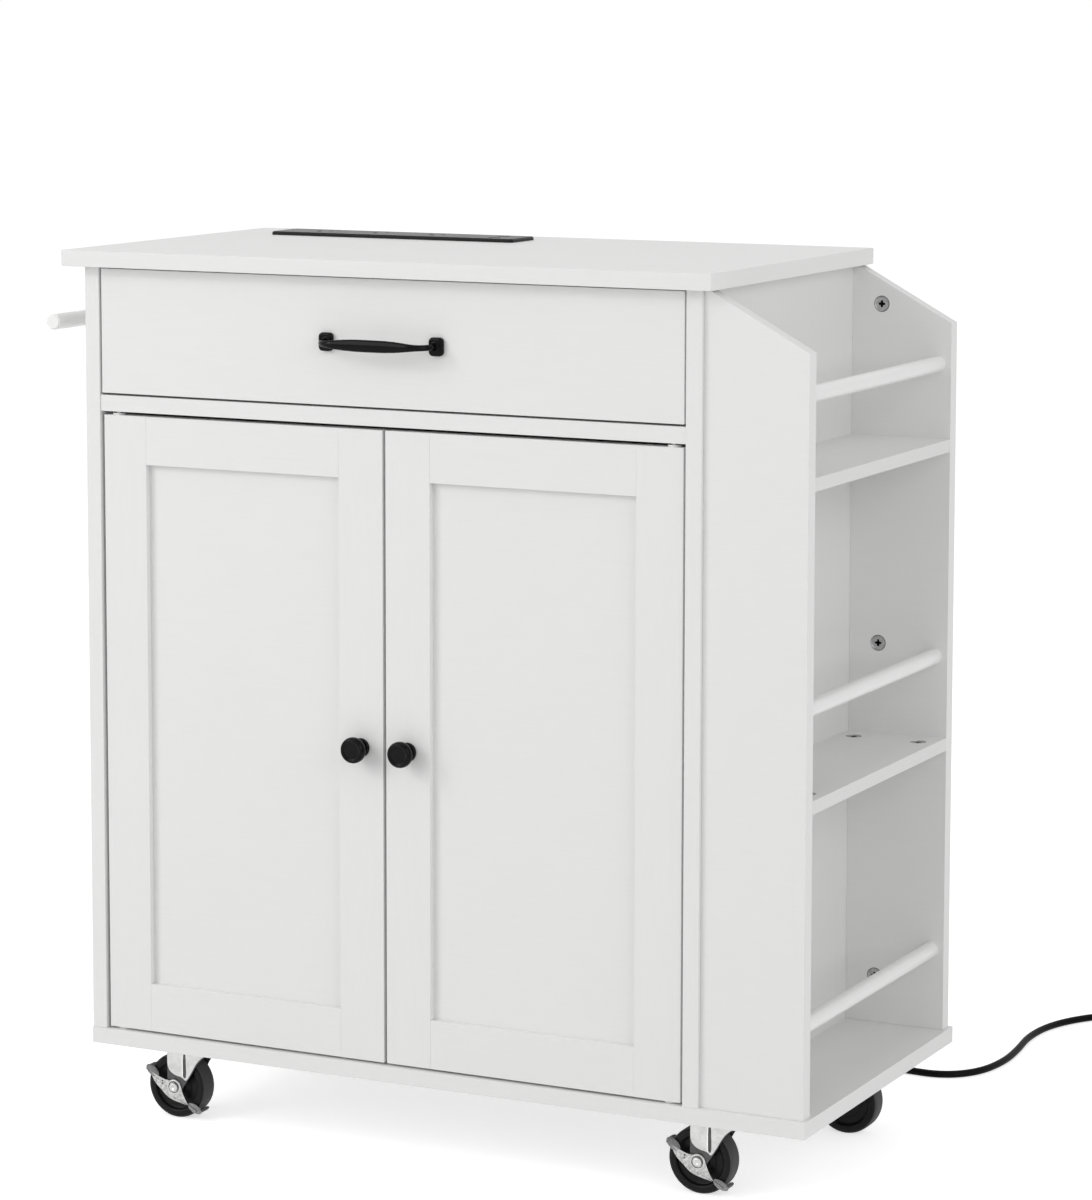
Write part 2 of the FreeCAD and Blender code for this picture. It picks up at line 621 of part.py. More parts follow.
def make_back_panel():
    panel = sheet_box("board - groove_depth", "inner_right + groove_depth",
                      "board - groove_depth", "side_top + groove_depth")
    start = ("strip_left + strip_length - relief_right", "sheet_front", "worktop - relief_drop")
    sub_part("back_panel", cut(panel, rod("y", start, "back_sheet", "cable_hole")))


# Rack: two end panels with a sloping upper edge, two shelves, three rails, cam fittings
def rack_panel(front):
    """The rack's end panel, its face towards the front at a given place."""
    body = new_body("RackPanel")
    outline = new_sketch(body, "XZ_Plane")
    polygon(outline, (
        ("carcass_width", "board"), ("rack_outer", "board"),
        ("rack_outer", "board + rack_outer_height"),
        ("carcass_width + rack_flat", "side_top"), ("carcass_width", "side_top"),
    ))
    pad(body, outline, "board", back=True)
    return seat(body, "0", front, "0")


def panel_cam_heights():
    middle = "(board + cam_rise + side_top - cam_drop) / 2"
    return ("board + cam_rise", middle, "side_top - cam_drop")


def panel_cams(start, diameter):
    """Rods where the cam fittings of one rack panel sit."""
    across = "carcass_width + cam_inset"
    return [rod("y", (across, start, height), "cam_depth", diameter)
            for height in panel_cam_heights()]


def shelf_cams(diameter):
    """Rods where the cam fittings of the middle rack shelf sit, flush with its upper face."""
    height = "rack_middle_under + rack_shelf - cam_depth"
    across = ("carcass_width + cam_shelf_inset", "rack_outer - cam_shelf_inset")
    return [rod("z", (x, y, height), "cam_depth", diameter)
            for x in across for y in ("rack_near + cam_inset", "rack_far - cam_inset")]


def make_rack():
    hole = "cam + 2 * fit_gap"
    front = rack_panel("rack_setback")
    back = rack_panel("rack_far")
    near_cams = "rack_near - cam_depth"
    sub_part("rack_front_panel", cut(front, *panel_cams(near_cams, hole)))
    sub_part("rack_back_panel", cut(back, *panel_cams("rack_far", hole)))
    fittings = panel_cams(near_cams, "cam") + panel_cams("rack_far", "cam") + shelf_cams("cam")
    sub_part("cam_fittings", group(*fittings))
    shelves = {}
    for label in ("upper", "middle"):
        under = f"rack_{label}_under"
        shelves[label] = box(("carcass_width", "rack_outer"), ("rack_near", "rack_far"),
                             (under, f"{under} + rack_shelf"))
    sub_part("rack_upper_shelf", shelves["upper"])
    sub_part("rack_middle_shelf", cut(shelves["middle"], *shelf_cams(hole)))
    for label, height in (
        ("rack_upper_rail", "rack_upper_under + rack_shelf + upper_rail_height"),
        ("rack_middle_rail", "rack_middle_under + rack_shelf + rail_height"),
        ("rack_lower_rail", "board + rail_height"),
    ):
        start = ("rack_outer - rail_inset", "rack_near", height)
        sub_part(label, rod("y", start, "rack_far - rack_near", "rail"))


# Towel rail: a round rail along the left end on two arms
def make_towel_rail():
    height = "worktop - towel_drop"
    body = new_body("TowelRail")
    face = new_sketch(body, "XZ_Plane")
    circle(face, "0", "0", "towel_rail")
    pad(body, face, "towel_length", back=True)
    dress(body, "Chamfer", "Size", "towel_edge", lambda edge: isinstance(edge.Curve, Part.Circle))
    sub_part("towel_rail", seat(body, "-towel_offset", "towel_setback", height))
    rear = "towel_setback + towel_length - towel_arm_inset - towel_arm"
    for label, start in (
        ("towel_front_arm", "towel_setback + towel_arm_inset"), ("towel_rear_arm", rear),
    ):
        arm = new_body("TowelArm")
        outline = new_sketch(arm, "XZ_Plane")
        polygon(outline, (
            ("towel_offset", "-towel_arm_height / 2"), ("towel_offset", "towel_arm_height / 2"),
            ("0", "towel_boss"), ("0", "-towel_boss"),
        ))
        pad(arm, outline, "towel_arm", back=True)
        eye = new_sketch(arm, "XZ_Plane")
        circle(eye, "0", "0", "2 * towel_boss")
        pad(arm, eye, "towel_arm", back=True)
        bore = new_sketch(arm, "XZ_Plane")
        circle(bore, "0", "0", "towel_rail + 2 * fit_gap")
        pocket(arm, bore, "towel_arm")
        sub_part(label, seat(arm, "-towel_offset", start, height))


# Power strip: a moulded cover on the top, its body below it, a strain relief at the back
def outlet_tools():
    """What the outlets and charging ports take out of the cover."""
    tools = []
    floor = ("worktop", "worktop + strip_cover")
    for number in range(3):
        middle = f"strip_left + outlet_first + {number} * outlet_spacing"
        line = "strip_axis + outlet_ground_offset / 2"
        for way in ("-", "+"):
            slot = f"{middle} {way} outlet_slot_spacing / 2"
            tools.append(box((f"{slot} - outlet_slot_width / 2", f"{slot} + outlet_slot_width / 2"),
                             (f"{line} - outlet_slot / 2", f"{line} + outlet_slot / 2"), floor))
        ground = (middle, "strip_axis - outlet_ground_offset / 2", "worktop")
        tools.append(rod("z", ground, "strip_cover", "outlet_ground"))
    right = "strip_left + strip_length - usb_inset"
    for way in ("-", "+"):
        port = f"strip_axis {way} usb_spacing / 2"
        tools.append(box((f"{right} - usb_length / 2", f"{right} + usb_length / 2"),
                         (f"{port} - usb_width / 2", f"{port} + usb_width / 2"), floor))
    return tools


def make_power_strip():
    body = new_body("StripCover")
    outline = new_sketch(body, "XY_Plane")
    rectangle(outline, ("0", "strip_length"), ("0", "strip_depth"))
    pad(body, outline, "strip_cover")
    round_edges(body, "strip_round", lambda edge: along(edge, Z_WAY))
    top = value("strip_cover")
    dress(body, "Chamfer", "Size", "strip_bevel", lambda edge: level(edge, "Z", top))
    seat(body, "strip_left", "strip_front", "worktop")
    sub_part("power_strip_cover", cut(body, *outlet_tools()))
    case = box(("strip_left + strip_lip", "strip_left + strip_length - strip_lip"),
               ("strip_front + strip_lip", "strip_rear"), ("worktop - strip_height", "worktop"))
    sub_part("power_strip_body", case)
    start = ("strip_left + strip_length - relief_right", "strip_rear", "worktop - relief_drop")
    relief = cone("y", start, "relief_length", "relief_root", "relief_tip")
    sub_part("cord_strain_relief", relief)


# Drawer: front, box and sheet-steel runners
def channel(web, inner, tip, low, high):
    """A C profile across X and Z: both faces of its web, its flanges' tips and its height."""
    return (
        (web, low), (tip, low), (tip, f"{low} + runner_sheet"), (inner, f"{low} + runner_sheet"),
        (inner, f"{high} - runner_sheet"), (tip, f"{high} - runner_sheet"), (tip, high),
        (web, high),
    )


def runner(side, profile, length):
    """A length of runner channel on the left, or mirrored on the right."""
    body = new_body("Runner")
    face = new_sketch(body, "XZ_Plane")
    if side == "right":
        profile = [(f"board + inner_right - ({x})", z) for x, z in profile]
    polygon(face, profile)
    pad(body, face, length, back=True)
    return seat(body, "0", "runner_front", "0")


def make_runners():
    low = "runner_under"
    high = "runner_under + runner_height"
    fixed = channel("board", "board + runner_sheet", "board + runner_flange", low, high)
    inset = "(runner_sheet + moving_gap)"
    moving = channel("drawer_left", "drawer_left - runner_sheet", "drawer_left - runner_flange",
                     f"{low} + {inset}", f"{high} - {inset}")
    for side in ("left", "right"):
        sub_part(f"{side}_fixed_runner", runner(side, fixed, "runner_length"))
        sub_part(f"{side}_drawer_runner", runner(side, moving, "runner_length - slide_short"))


def make_drawer_box():
    low, high = "drawer_under", "drawer_under + drawer_height"
    groove = ("drawer_floor", "drawer_floor + drawer_sheet")
    sheet_left = "drawer_left + drawer_board - drawer_groove"
    sheet_right = "drawer_right - drawer_board + drawer_groove"
    front = box(("board + drawer_gap", "inner_right - drawer_gap"), ("drawer_face", "drawer_near"),
                ("divider_top + drawer_gap", "side_top - drawer_gap"))
    slot = box((sheet_left, sheet_right),
               ("drawer_near - drawer_groove - panel_play", "drawer_near"), groove)
    sub_part("drawer_front", cut(front, slot))
    depth = ("drawer_near", "drawer_far")
    inner_left = "drawer_left + drawer_board"
    inner_right = "drawer_right - drawer_board"
    left = box(("drawer_left", inner_left), depth, (low, high))
    left_slot = box((f"{sheet_left} - panel_play", inner_left), depth, groove)
    sub_part("drawer_left_side", cut(left, left_slot))
    right = box((inner_right, "drawer_right"), depth, (low, high))
    right_slot = box((inner_right, f"{sheet_right} + panel_play"), depth, groove)
    sub_part("drawer_right_side", cut(right, right_slot))
    sub_part("drawer_back", box((inner_left, inner_right),
                                ("drawer_far - drawer_board", "drawer_far"), (groove[1], high)))
    sub_part("drawer_bottom", box((sheet_left, sheet_right),
                                  ("drawer_near - drawer_groove", "drawer_far"), groove))


# Drawer pull: two rounded feet and a bowed grip that swells to its middle
def pull_foot(x):
    body = new_body("PullFoot")
    face = new_sketch(body, "XZ_Plane")
    half_width, half_height = "pull_foot_width / 2", "pull_foot_height / 2"
    rectangle(face, (f"-{half_width}", half_width), (f"-{half_height}", half_height))
    pad(body, face, "pull_foot_depth")
    round_edges(body, "pull_foot_round", lambda edge: along(edge, Y_WAY))
    front = -value("pull_foot_depth")
    round_edges(body, "pull_foot_edge", lambda edge: level(edge, "Y", front))
    return seat(body, x, "0", "0")


def pull_section(side, shares):
    """One oval section of the grip; side is -1 or 1 for the left or right half."""
    along_share, out_share, lean_share, height_share, thick_share = shares
    oval = doc.addObject("Part::Ellipse", "Section")
    oval.setExpression("MajorRadius", full(f"pull_grip / 2 * {height_share}"))
    oval.setExpression("MinorRadius", full(f"pull_thickness / 2 * {thick_share}"))
    upright = FreeCAD.Rotation(FreeCAD.Vector(0, 0, 1), FreeCAD.Vector(-1, 0, 0),
                               FreeCAD.Vector(0, -1, 0), "ZXY")
    lean = math.copysign(90 * lean_share, -side)
    turned = FreeCAD.Rotation(FreeCAD.Vector(0, 0, 1), side * 90 + lean + 90 * -side)
    oval.Placement = FreeCAD.Placement(FreeCAD.Vector(), turned.multiply(upright))
    across = f"{side} * pull_spacing / 2 * {round(1 - along_share, 3)}"
    return seat(oval, across, f"-pull_projection * {out_share}", "0")


def make_pull():
    left = [pull_section(-1, shares) for shares in PULL_SHARES]
    right = [pull_section(1, shares) for shares in reversed(PULL_SHARES[:-1])]
    grip = doc.addObject("Part::Loft", "Grip")
    grip.Sections = left + right
    grip.Solid = True
    pull = join(pull_foot("-pull_spacing / 2"), pull_foot("pull_spacing / 2"), grip)
    corners[pull.Name] = ("pull_centre", "drawer_face", "side_top - drawer_gap - pull_drop")
    sub_part("drawer_pull", pull)


# Doors: stiles and rails round a thin panel, a knob, and a pivot bushing at top and bottom
def span(side, edge, near, far):
    """Two places across a door measured inwards from its outer edge, in rising order."""
    low, high = (near, far) if side > 0 else (far, near)
    sign = "+" if side > 0 else "-"
    return (f"{edge} {sign} ({low})", f"{edge} {sign} ({high})")


def make_door(label, side, edge, axis):
    depth = ("door_setback", "door_setback + door_board")
    groove = ("door_setback + panel_recess", "door_setback + panel_recess + panel_sheet")
    low, high = "door_under", "door_top"
    inner_low, inner_high = f"{low} + frame_width", f"{high} - frame_width"
    reach = "panel_groove + panel_play"
    between = ("frame_width", "door_width - frame_width")
    hole = "bushing + 2 * fit_gap"
    sockets = [rod("z", (axis, "pivot_depth", low), "bushing_length + fit_gap", hole),
               rod("z", (axis, "pivot_depth", f"{high} - bushing_length - fit_gap"),
                   "bushing_length + fit_gap", hole)]
    stiles = []
    for near, far, slot_near, slot_far, holes in (
        ("0", "frame_width", f"frame_width - ({reach})", "frame_width", sockets),
        (between[1], "door_width", between[1], f"{between[1]} + {reach}", []),
    ):
        stile = box(span(side, edge, near, far), depth, (low, high))
        slot = box(span(side, edge, slot_near, slot_far), groove,
                   (f"{inner_low} - ({reach})", f"{inner_high} + {reach}"))
        stiles.append(cut(stile, slot, *holes))
    sub_part(f"{label}_stiles", group(*stiles))
    rails = []
    for start, stop, slot_start, slot_stop in (
        (low, inner_low, f"{inner_low} - ({reach})", inner_low),
        (inner_high, high, inner_high, f"{inner_high} + {reach}"),
    ):
        rail = box(span(side, edge, *between), depth, (start, stop))
        slot = box(span(side, edge, *between), groove, (slot_start, slot_stop))
        rails.append(cut(rail, slot))
    sub_part(f"{label}_rails", group(*rails))
    panel = box(span(side, edge, "frame_width - panel_groove",
                     "door_width - frame_width + panel_groove"), groove,
                (f"{inner_low} - panel_groove", f"{inner_high} + panel_groove"))
    sub_part(f"{label}_panel", panel)
    make_bushings(label, axis)
    middle = span(side, edge, "door_width - frame_width / 2", "door_width")[0 if side > 0 else 1]
    make_knob(label, middle)


def make_bushings(label, axis):
    """Flanged bushings pushed into the ends of the door's outer stile."""
    bushings = []
    for flange_start, sleeve_start in (
        ("door_under - flange_depth", "door_under"),
        ("door_top", "door_top - bushing_length"),
    ):
        flange = rod("z", (axis, "pivot_depth", flange_start), "flange_depth", "bushing_flange")
        sleeve = rod("z", (axis, "pivot_depth", sleeve_start), "bushing_length", "bushing")
        low = flange_start if flange_start != "door_top" else sleeve_start
        bore = rod("z", (axis, "pivot_depth", low), "flange_depth + bushing_length",
                   "pivot_pin + 2 * running_gap")
        bushings.append(cut(join(flange, sleeve), bore))
    sub_part(f"{label}_bushings", group(*bushings))


def make_knob(label, middle):
    """A turned knob: rose, stem and flat head, its axis along Y."""
    body = new_body("Knob")
    half = new_sketch(body, "XY_Plane")
    head = "knob_disc_depth - knob_projection"
    polygon(half, (
        ("0", "0"), ("knob_rose / 2", "0"), ("knob_rose / 2", "-knob_rose_depth * 0.6"),
        ("knob_rose * 0.4", "-knob_rose_depth"), ("knob_stem / 2", "-knob_rose_depth"),
        ("knob_stem / 2", head), ("knob_disc / 2", head),
        ("knob_disc / 2", "-knob_projection"), ("0", "-knob_projection"),
    ))
    revolve(body, half, "V_Axis")
    rim = value("knob_disc") / 2
    round_edges(body, "knob_edge", lambda edge: isinstance(edge.Curve, Part.Circle)
                and abs(edge.Curve.Radius - rim) < SMALL)
    sub_part(f"{label}_knob", seat(body, middle, "door_setback", "board + knob_height"))


def make_pivot_pins():
    length = "pivot_bite + door_floor_gap + pivot_bite"
    lower = pivot_rods("board - pivot_bite", length, "pivot_pin")
    upper = pivot_rods("door_top - pivot_bite", "pivot_bite + door_head_gap + pivot_bite",
                       "pivot_pin")
    sub_part("door_pivot_pins", group(*lower, *upper))


# Casters: plate with its raceway and kingpin, fork, wheel, and a foot brake on the front two
def caster_plate(x, y):
    """Mounting plate with the swivel's upper raceway and kingpin."""
    body = new_body("CasterPlate")
    outline = new_sketch(body, "XY_Plane")
    half_length, half_width = "plate_length / 2", "plate_width / 2"
    rectangle(outline, (f"-{half_length}", half_length), (f"-{half_width}", half_width))
    pad(body, outline, "plate_sheet", back=True)
    round_edges(body, "plate_round", lambda edge: along(edge, Z_WAY))
    holes = new_sketch(body, "XY_Plane")
    for across in ("-", ""):
        for back in ("-", ""):
            circle(holes, f"{across}(plate_length / 2 - plate_hole_inset)",
                   f"{back}(plate_width / 2 - plate_hole_inset)", "plate_hole")
    pocket(body, holes, "plate_sheet")
    turned = new_sketch(body, "XZ_Plane")
    pin_end = "-(crown_drop + fork_sheet + moving_gap)"
    polygon(turned, (
        ("0", "-plate_sheet"), ("raceway / 2", "-plate_sheet"),
        ("raceway_neck / 2", "-raceway_depth"), ("kingpin / 2", "-raceway_depth"),
        ("kingpin / 2", pin_end), ("kingpin_head / 2", pin_end),
        ("kingpin_head / 2", f"{pin_end} - kingpin_head_depth"),
        ("0", f"{pin_end} - kingpin_head_depth"),
    ))
    revolve(body, turned, "V_Axis")
    return seat(body, x, y, "0")


def fork_shape():
    """Fork about its swivel axis, the axle behind it towards -X."""
    body = new_body("Fork")
    crown_level = "-crown_drop"
    crown = new_sketch(body, "XY_Plane", crown_level)
    rectangle(crown, ("-(caster_trail + fork_boss)", "fork_reach - caster_trail"),
              ("-leg_outer", "leg_outer"))
    pad(body, crown, "fork_sheet", back=True)
    disc = new_sketch(body, "XY_Plane", crown_level)
    circle(disc, "0", "0", "raceway")
    pad(body, disc, "fork_sheet", back=True)
    rise = "(axle_drop - crown_drop)"
    edge = [(f"fork_reach * {x} - caster_trail", f"{rise} * {z} - axle_drop")
            for x, z in LEG_SHARES]
    leg = new_sketch(body, "XZ_Plane", "leg_inner")
    polygon(leg, [("-(caster_trail + fork_boss)", "-axle_drop"),
                  ("-(caster_trail + fork_boss)", "-crown_drop - fork_sheet"),
                  ("fork_reach - caster_trail", "-crown_drop - fork_sheet")] + edge
            + [("fork_boss * 0.94 - caster_trail", "-axle_drop - fork_boss * 0.34")])
    leg_pad = pad(body, leg, "fork_sheet")
    boss = new_sketch(body, "XZ_Plane", "leg_inner")
    circle(boss, "-caster_trail", "-axle_drop", "2 * fork_boss")
    boss_pad = pad(body, boss, "fork_sheet")
    rib = new_sketch(body, "XZ_Plane", "leg_outer")
    rib_left = "fork_rib - caster_trail"
    rectangle(rib, (rib_left, f"{rib_left} + fork_rib_width"),
              (f"{rise} * 0.26 - axle_drop", "-crown_drop - fork_sheet"))
    rib_pad = pad(body, rib, "fork_rib_depth")
    mirrored = body.newObject("PartDesign::Mirrored", "OtherLeg")
    mirrored.Originals = [leg_pad, boss_pad, rib_pad]
    mirrored.MirrorPlane = (origin_plane(body, "XZ_Plane"), [""])
    body.Tip = mirrored
    return body


def axle_shape(near, near_head):
    """Riveted axle along Y: its front end and the near head's inner face are given."""
    middle = "-caster_trail", "-axle_drop"
    shank = rod("y", (middle[0], f"-({near})", middle[1]), f"{near} + leg_outer", "axle")
    front = rod("y", (middle[0], f"-({near_head} + axle_head_depth)", middle[1]),
                "axle_head_depth", "axle_head")
    rear = rod("y", (middle[0], "leg_outer", middle[1]), "axle_head_depth", "axle_head")
    return join(shank, front, rear)


def make_fork(label, turn, x, y, braked):
    hang = ("0", "0", "-(crown_drop + fork_sheet)")
    king_hole = rod("z", hang, "fork_sheet", "kingpin + 2 * running_gap")
    far = "leg_outer + fork_rib_depth"
    axle_hole = rod("y", ("-caster_trail", f"-({far})", "-axle_drop"), f"2 * ({far})",
                    "axle + 2 * fit_gap")
    steel = cut(fork_shape(), king_hole, axle_hole)
    near = "lever_outer + moving_gap" if braked else "leg_outer"
    fork = group(steel, axle_shape(near, near))
    fork.Placement = FreeCAD.Placement(FreeCAD.Vector(), turn)
    corners[fork.Name] = (x, y, "0")
    sub_part(f"{label}_fork", fork)


def make_wheel(label, turn, x, y):
    body = new_body("Wheel")
    half = new_sketch(body, "XY_Plane")
    bore = "axle / 2 + running_gap"
    hub = "wheel_hub / 2"
    tread = "wheel / 2"
    dish_in = f"{hub} + wheel_dish / 4"
    dish_out = f"{tread} - wheel_rim"
    rim_in = f"{dish_out} + wheel_dish / 2"
    dish = "(wheel_width / 2 - wheel_dish)"
    side = [(bore, "wheel_hub_width / 2"), (hub, "wheel_hub_width / 2"), (dish_in, dish),
            (dish_out, dish), (rim_in, "wheel_width / 2"), (tread, "wheel_width / 2")]
    other = [(radius, f"-({across})") for radius, across in reversed(side)]
    polygon(half, side + other)
    revolve(body, half, "V_Axis")
    radius = value("wheel") / 2
    round_edges(body, "wheel_edge", lambda edge: isinstance(edge.Curve, Part.Circle)
                and abs(edge.Curve.Radius - radius) < SMALL)
    body.Placement = FreeCAD.Placement(FreeCAD.Vector(), turn)
    sign = "-" if turn.Angle < 1 else "+"
    sub_part(f"{label}_wheel", seat(body, f"{x} {sign} caster_trail", y, "-axle_drop"))


def make_lever(label, x, y):
    """Rocking brake lever: a plate beside the near leg with a flat pedal bent in at each end."""
    plate = new_body("LeverPlate")
    outline = new_sketch(plate, "XZ_Plane", "lever_inner")
    polygon(outline, [(f"lever_reach * ({across})", f"lever_reach * ({up})")
                      for across, up in LEVER_SHARES])
    pad(plate, outline, "lever_sheet")
    for root, tip, neck in PEDAL_SHARES:
        run, rise = tip[0] - root[0], tip[1] - root[1]
        slope = math.copysign(math.hypot(run, rise), run)
        under = (rise / slope, -run / slope)
        inner = (root[0] + neck * run, root[1] + neck * rise)
        for start, depth in ((root, "pedal_neck"), (inner, "pedal_width")):
            section = new_sketch(plate, "XZ_Plane", "lever_outer")
            polygon(section, [
                tuple(f"lever_reach * ({share}) + lever_sheet * ({shift})"
                      for share, shift in zip(corner, drop))
                for corner, drop in ((start, (0, 0)), (tip, (0, 0)), (tip, under), (start, under))])
            pad(plate, section, depth, back=True)
    hole = rod("y", ("0", "-lever_outer", "0"), "lever_sheet", "axle + 2 * running_gap")
    lever = cut(plate, hole)
    corners[lever.Name] = (f"{x} - caster_trail", y, "-axle_drop")
    sub_part(f"{label}_lever", lever)


def make_casters():
    straight = FreeCAD.Rotation()
    reversed_way = FreeCAD.Rotation(FreeCAD.Vector(0, 0, 1), 180)
    plates = []
    for label, x, y, turn, braked in (
        ("front_left", "caster_left", "caster_front", straight, True),
        ("front_right", "caster_right", "caster_front", straight, True),
        ("rear_left", "caster_left", "caster_rear", reversed_way, False),
        ("rear_right", "caster_right", "caster_rear", reversed_way, False),
    ):
        plates.append(caster_plate(x, y))
        make_fork(label, turn, x, y, braked)
        make_wheel(label, turn, x, y)
        if braked:
            make_lever(label, x, y)
    sub_part("caster_plates", group(*plates))


# Mains cord, its coil and its plug
def solid(label, shape):
    """A sub-part whose shape is worked out here, already in the origin's frame."""
    item = doc.addObject("Part::Feature", "Solid")
    item.Shape = shape
    item.Label = label
    sub_parts[label] = item
    return item


def tube(edges, start, way):
    """A round cord along a path that starts at a point in a given direction."""
    section = Part.Wire([Part.makeCircle(value("cord") / 2, start, way)])
    return Part.Wire(edges).makePipeShell([section], True, False)


def cord_path():
    """Straight runs joined by tangent arcs, each as large as its two runs allow."""
    points = [FreeCAD.Vector(*point) for point in CORD_ROUTE]
    edges = []
    radii = []
    here = points[0]
    for before, point, after in zip(points, points[1:], points[2:]):
        way_in = (point - before).normalize()
        way_out = (after - point).normalize()
        half_turn = way_in.getAngle(way_out) / 2
        reach = ARC_SHARE * min(point.distanceToPoint(before), point.distanceToPoint(after))
        radius = reach / math.tan(half_turn)
        radii.append(radius)
        first = point - way_in * reach
        last = point + way_out * reach
        to_centre = (way_out - way_in).normalize()
        middle = point + to_centre * (radius / math.cos(half_turn) - radius)
        edges.append(Part.LineSegment(here, first).toShape())
        edges.append(Part.Arc(first, middle, last).toShape())
        here = last
    edges.append(Part.LineSegment(here, points[-1]).toShape())
    print("cord radii:", " ".join(str(round(radius)) for radius in radii))
    return edges, points


def biarc(start, start_way, end, end_way):
    """Two tangent arcs from one point and direction to another."""
    gap = end - start
    turn = start_way.dot(end_way)
    square = 2 * (1 - turn)
    linear = gap.dot(start_way + end_way)
    if square < SMALL:
        reach = gap.dot(gap) / (4 * gap.dot(end_way))
    else:
        root = math.sqrt(linear * linear + square * gap.dot(gap))
        reach = (root - linear) / square
    joint = (start + end + (start_way - end_way) * reach) * 0.5
    arcs = []
    for first, way, last in ((start, start_way, joint), (end, -end_way, joint)):
        chord = last - first
        angle = way.getAngle(chord)
        bow = (way + chord.normalize()).normalize()
        middle = first + bow * (first.distanceToPoint(last) / (2 * math.cos(angle / 2)))
        arcs.append((first, middle, last))
    first_arc, second_arc = arcs
    return [Part.Arc(*first_arc).toShape(), Part.Arc(*reversed(second_arc)).toShape()]


def coil_points():
    """Quarter-turn points of the coil and the direction of the cord there."""
    pitch = value("coil_pitch")
    floor = value("cord / 2 + floor_gap")
    centre = FreeCAD.Vector(value("coil_east"), value("coil_north"), floor)
    spots = []
    for quarter in range(COIL_QUARTERS + 1):
        step = quarter - COIL_MIDDLE
        radius = value("coil_inner") + pitch * abs(step) / 4
        angle = math.pi / 2 - quarter * math.pi / 2
        outwards = FreeCAD.Vector(math.cos(angle), math.sin(angle), 0)
        onwards = FreeCAD.Vector(math.sin(angle), -math.cos(angle), 0)
        layer = 0 if step < 0 else (0.5 if step == 0 else 1)
        spot = centre + outwards * radius + FreeCAD.Vector(0, 0, layer * pitch)
        drift = 0 if quarter in (0, COIL_MIDDLE, COIL_QUARTERS) else math.copysign(1, step)
        way = onwards + outwards * (drift * pitch / (2 * math.pi * radius))
        if step == 0:
            way.z = CLIMB_SHARE
        spots.append((spot, way.normalize()))
    return spots


def self_gap(edges):
    """Least clearance between turns of the coil, measured on points of its centre line."""
    step = value("cord") / 2
    apart = round(math.pi * 2)
    points = []
    for edge in edges:
        count = max(2, math.ceil(edge.Length / step))
        points += edge.discretize(count + 1)[:-1]
    least = min(
        first.distanceToPoint(second)
        for index, first in enumerate(points)
        for second in points[index + apart:]
    )
    return least - value("cord")


def make_cord():
    edges, points = cord_path()
    way = (points[1] - points[0]).normalize()
    cord = tube(edges, points[0], way)
    length = sum(edge.Length for edge in edges)
    section = math.pi * (value("cord") / 2) ** 2
    print("cord length", round(length), "volume over section", round(cord.Volume / section))
    solid("power_cord", cord)
    spots = coil_points()
    lead = value("cord")
    turns = []
    for (start, start_way), (end, end_way) in zip(spots, spots[1:]):
        turns += biarc(start, start_way, end, end_way)
    start, start_way = spots[0]
    end, end_way = spots[-1]
    first = start - start_way * lead
    last = end + end_way * lead
    path = [Part.LineSegment(first, start).toShape()] + turns
    path.append(Part.LineSegment(end, last).toShape())
    coil = tube(path, first, start_way)
    coiled = sum(edge.Length for edge in path)
    print("coil length", round(coiled), "volume over section", round(coil.Volume / section))
    print("coil least gap", round(self_gap(turns), 2))
    solid("cord_coil", coil)
    make_plug(last)


def make_plug(tip):
    """Moulded plug on the floor beside the coil, its blades towards -Y."""
    number = value
    width = number("plug_width")
    body_end = tip.y - number("plug_relief")
    face = body_end - number("plug_length")
    low = number("plug_floor_gap")
    relief = Part.makeCone(number("cord") / 2, number("plug_relief_root") / 2,
                           number("plug_relief"), tip, FreeCAD.Vector(0, -1, 0))
    corner = FreeCAD.Vector(tip.x - width / 2, face, low)
    block = Part.makeBox(width, number("plug_length"), width, corner)
    rounds = [edge for edge in block.Edges if along(edge, Y_WAY) or level(edge, "Y", body_end)]
    block = block.makeFillet(number("plug_round"), rounds)
    solid("mains_plug", block.fuse(relief).removeSplitter())
    blade = (number("blade_sheet"), number("blade_length"), number("blade_height"))
    pins = []
    for way in (-1, 1):
        across = tip.x + way * number("outlet_slot_spacing") / 2 - blade[0] / 2
        up = low + number("blade_inset") - blade[2] / 2
        place = FreeCAD.Vector(across, face - blade[1], up)
        pins.append(Part.makeBox(*blade, place))
    up = low + number("blade_inset") + number("outlet_ground_offset")
    pins.append(Part.makeCylinder(number("ground_pin") / 2, number("ground_pin_length"),
                                  FreeCAD.Vector(tip.x, face, up), FreeCAD.Vector(0, -1, 0)))
    solid("mains_plug_pins", Part.makeCompound(pins))


make_base_board()
make_side_panels()
make_divider()
make_shelf()
make_top_board()
make_back_panel()
make_rack()
make_towel_rail()
make_power_strip()
make_runners()
make_drawer_box()
make_pull()
for name, (side, edge, axis) in zip(("left_door", "right_door"), door_sides()):
    make_door(name, side, edge, axis)
make_pivot_pins()
make_casters()
make_cord()
doc.recompute()

# Nothing is written unless every object is sound
for item in doc.Objects:
    if "Invalid" in item.State or "Error" in item.State:
        raise RuntimeError(f"{item.Name}: {item.State}")
os.makedirs("parts", exist_ok=True)
for label, item in sub_parts.items():
    shape = item.Shape
    if shape.isNull() or not shape.isValid() or not shape.Solids:
        raise RuntimeError(f"{label}: no valid solid")
    shape.exportStep(f"parts/{label}.step")
print(len(sub_parts), "sub-parts written")
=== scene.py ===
"""Kitchen trolley on casters: the finish of every piece, the cord, the camera and the stage."""
import json
import math
import bpy
from bpy.props import FloatProperty, FloatVectorProperty, PointerProperty
from mathutils import Matrix, Vector

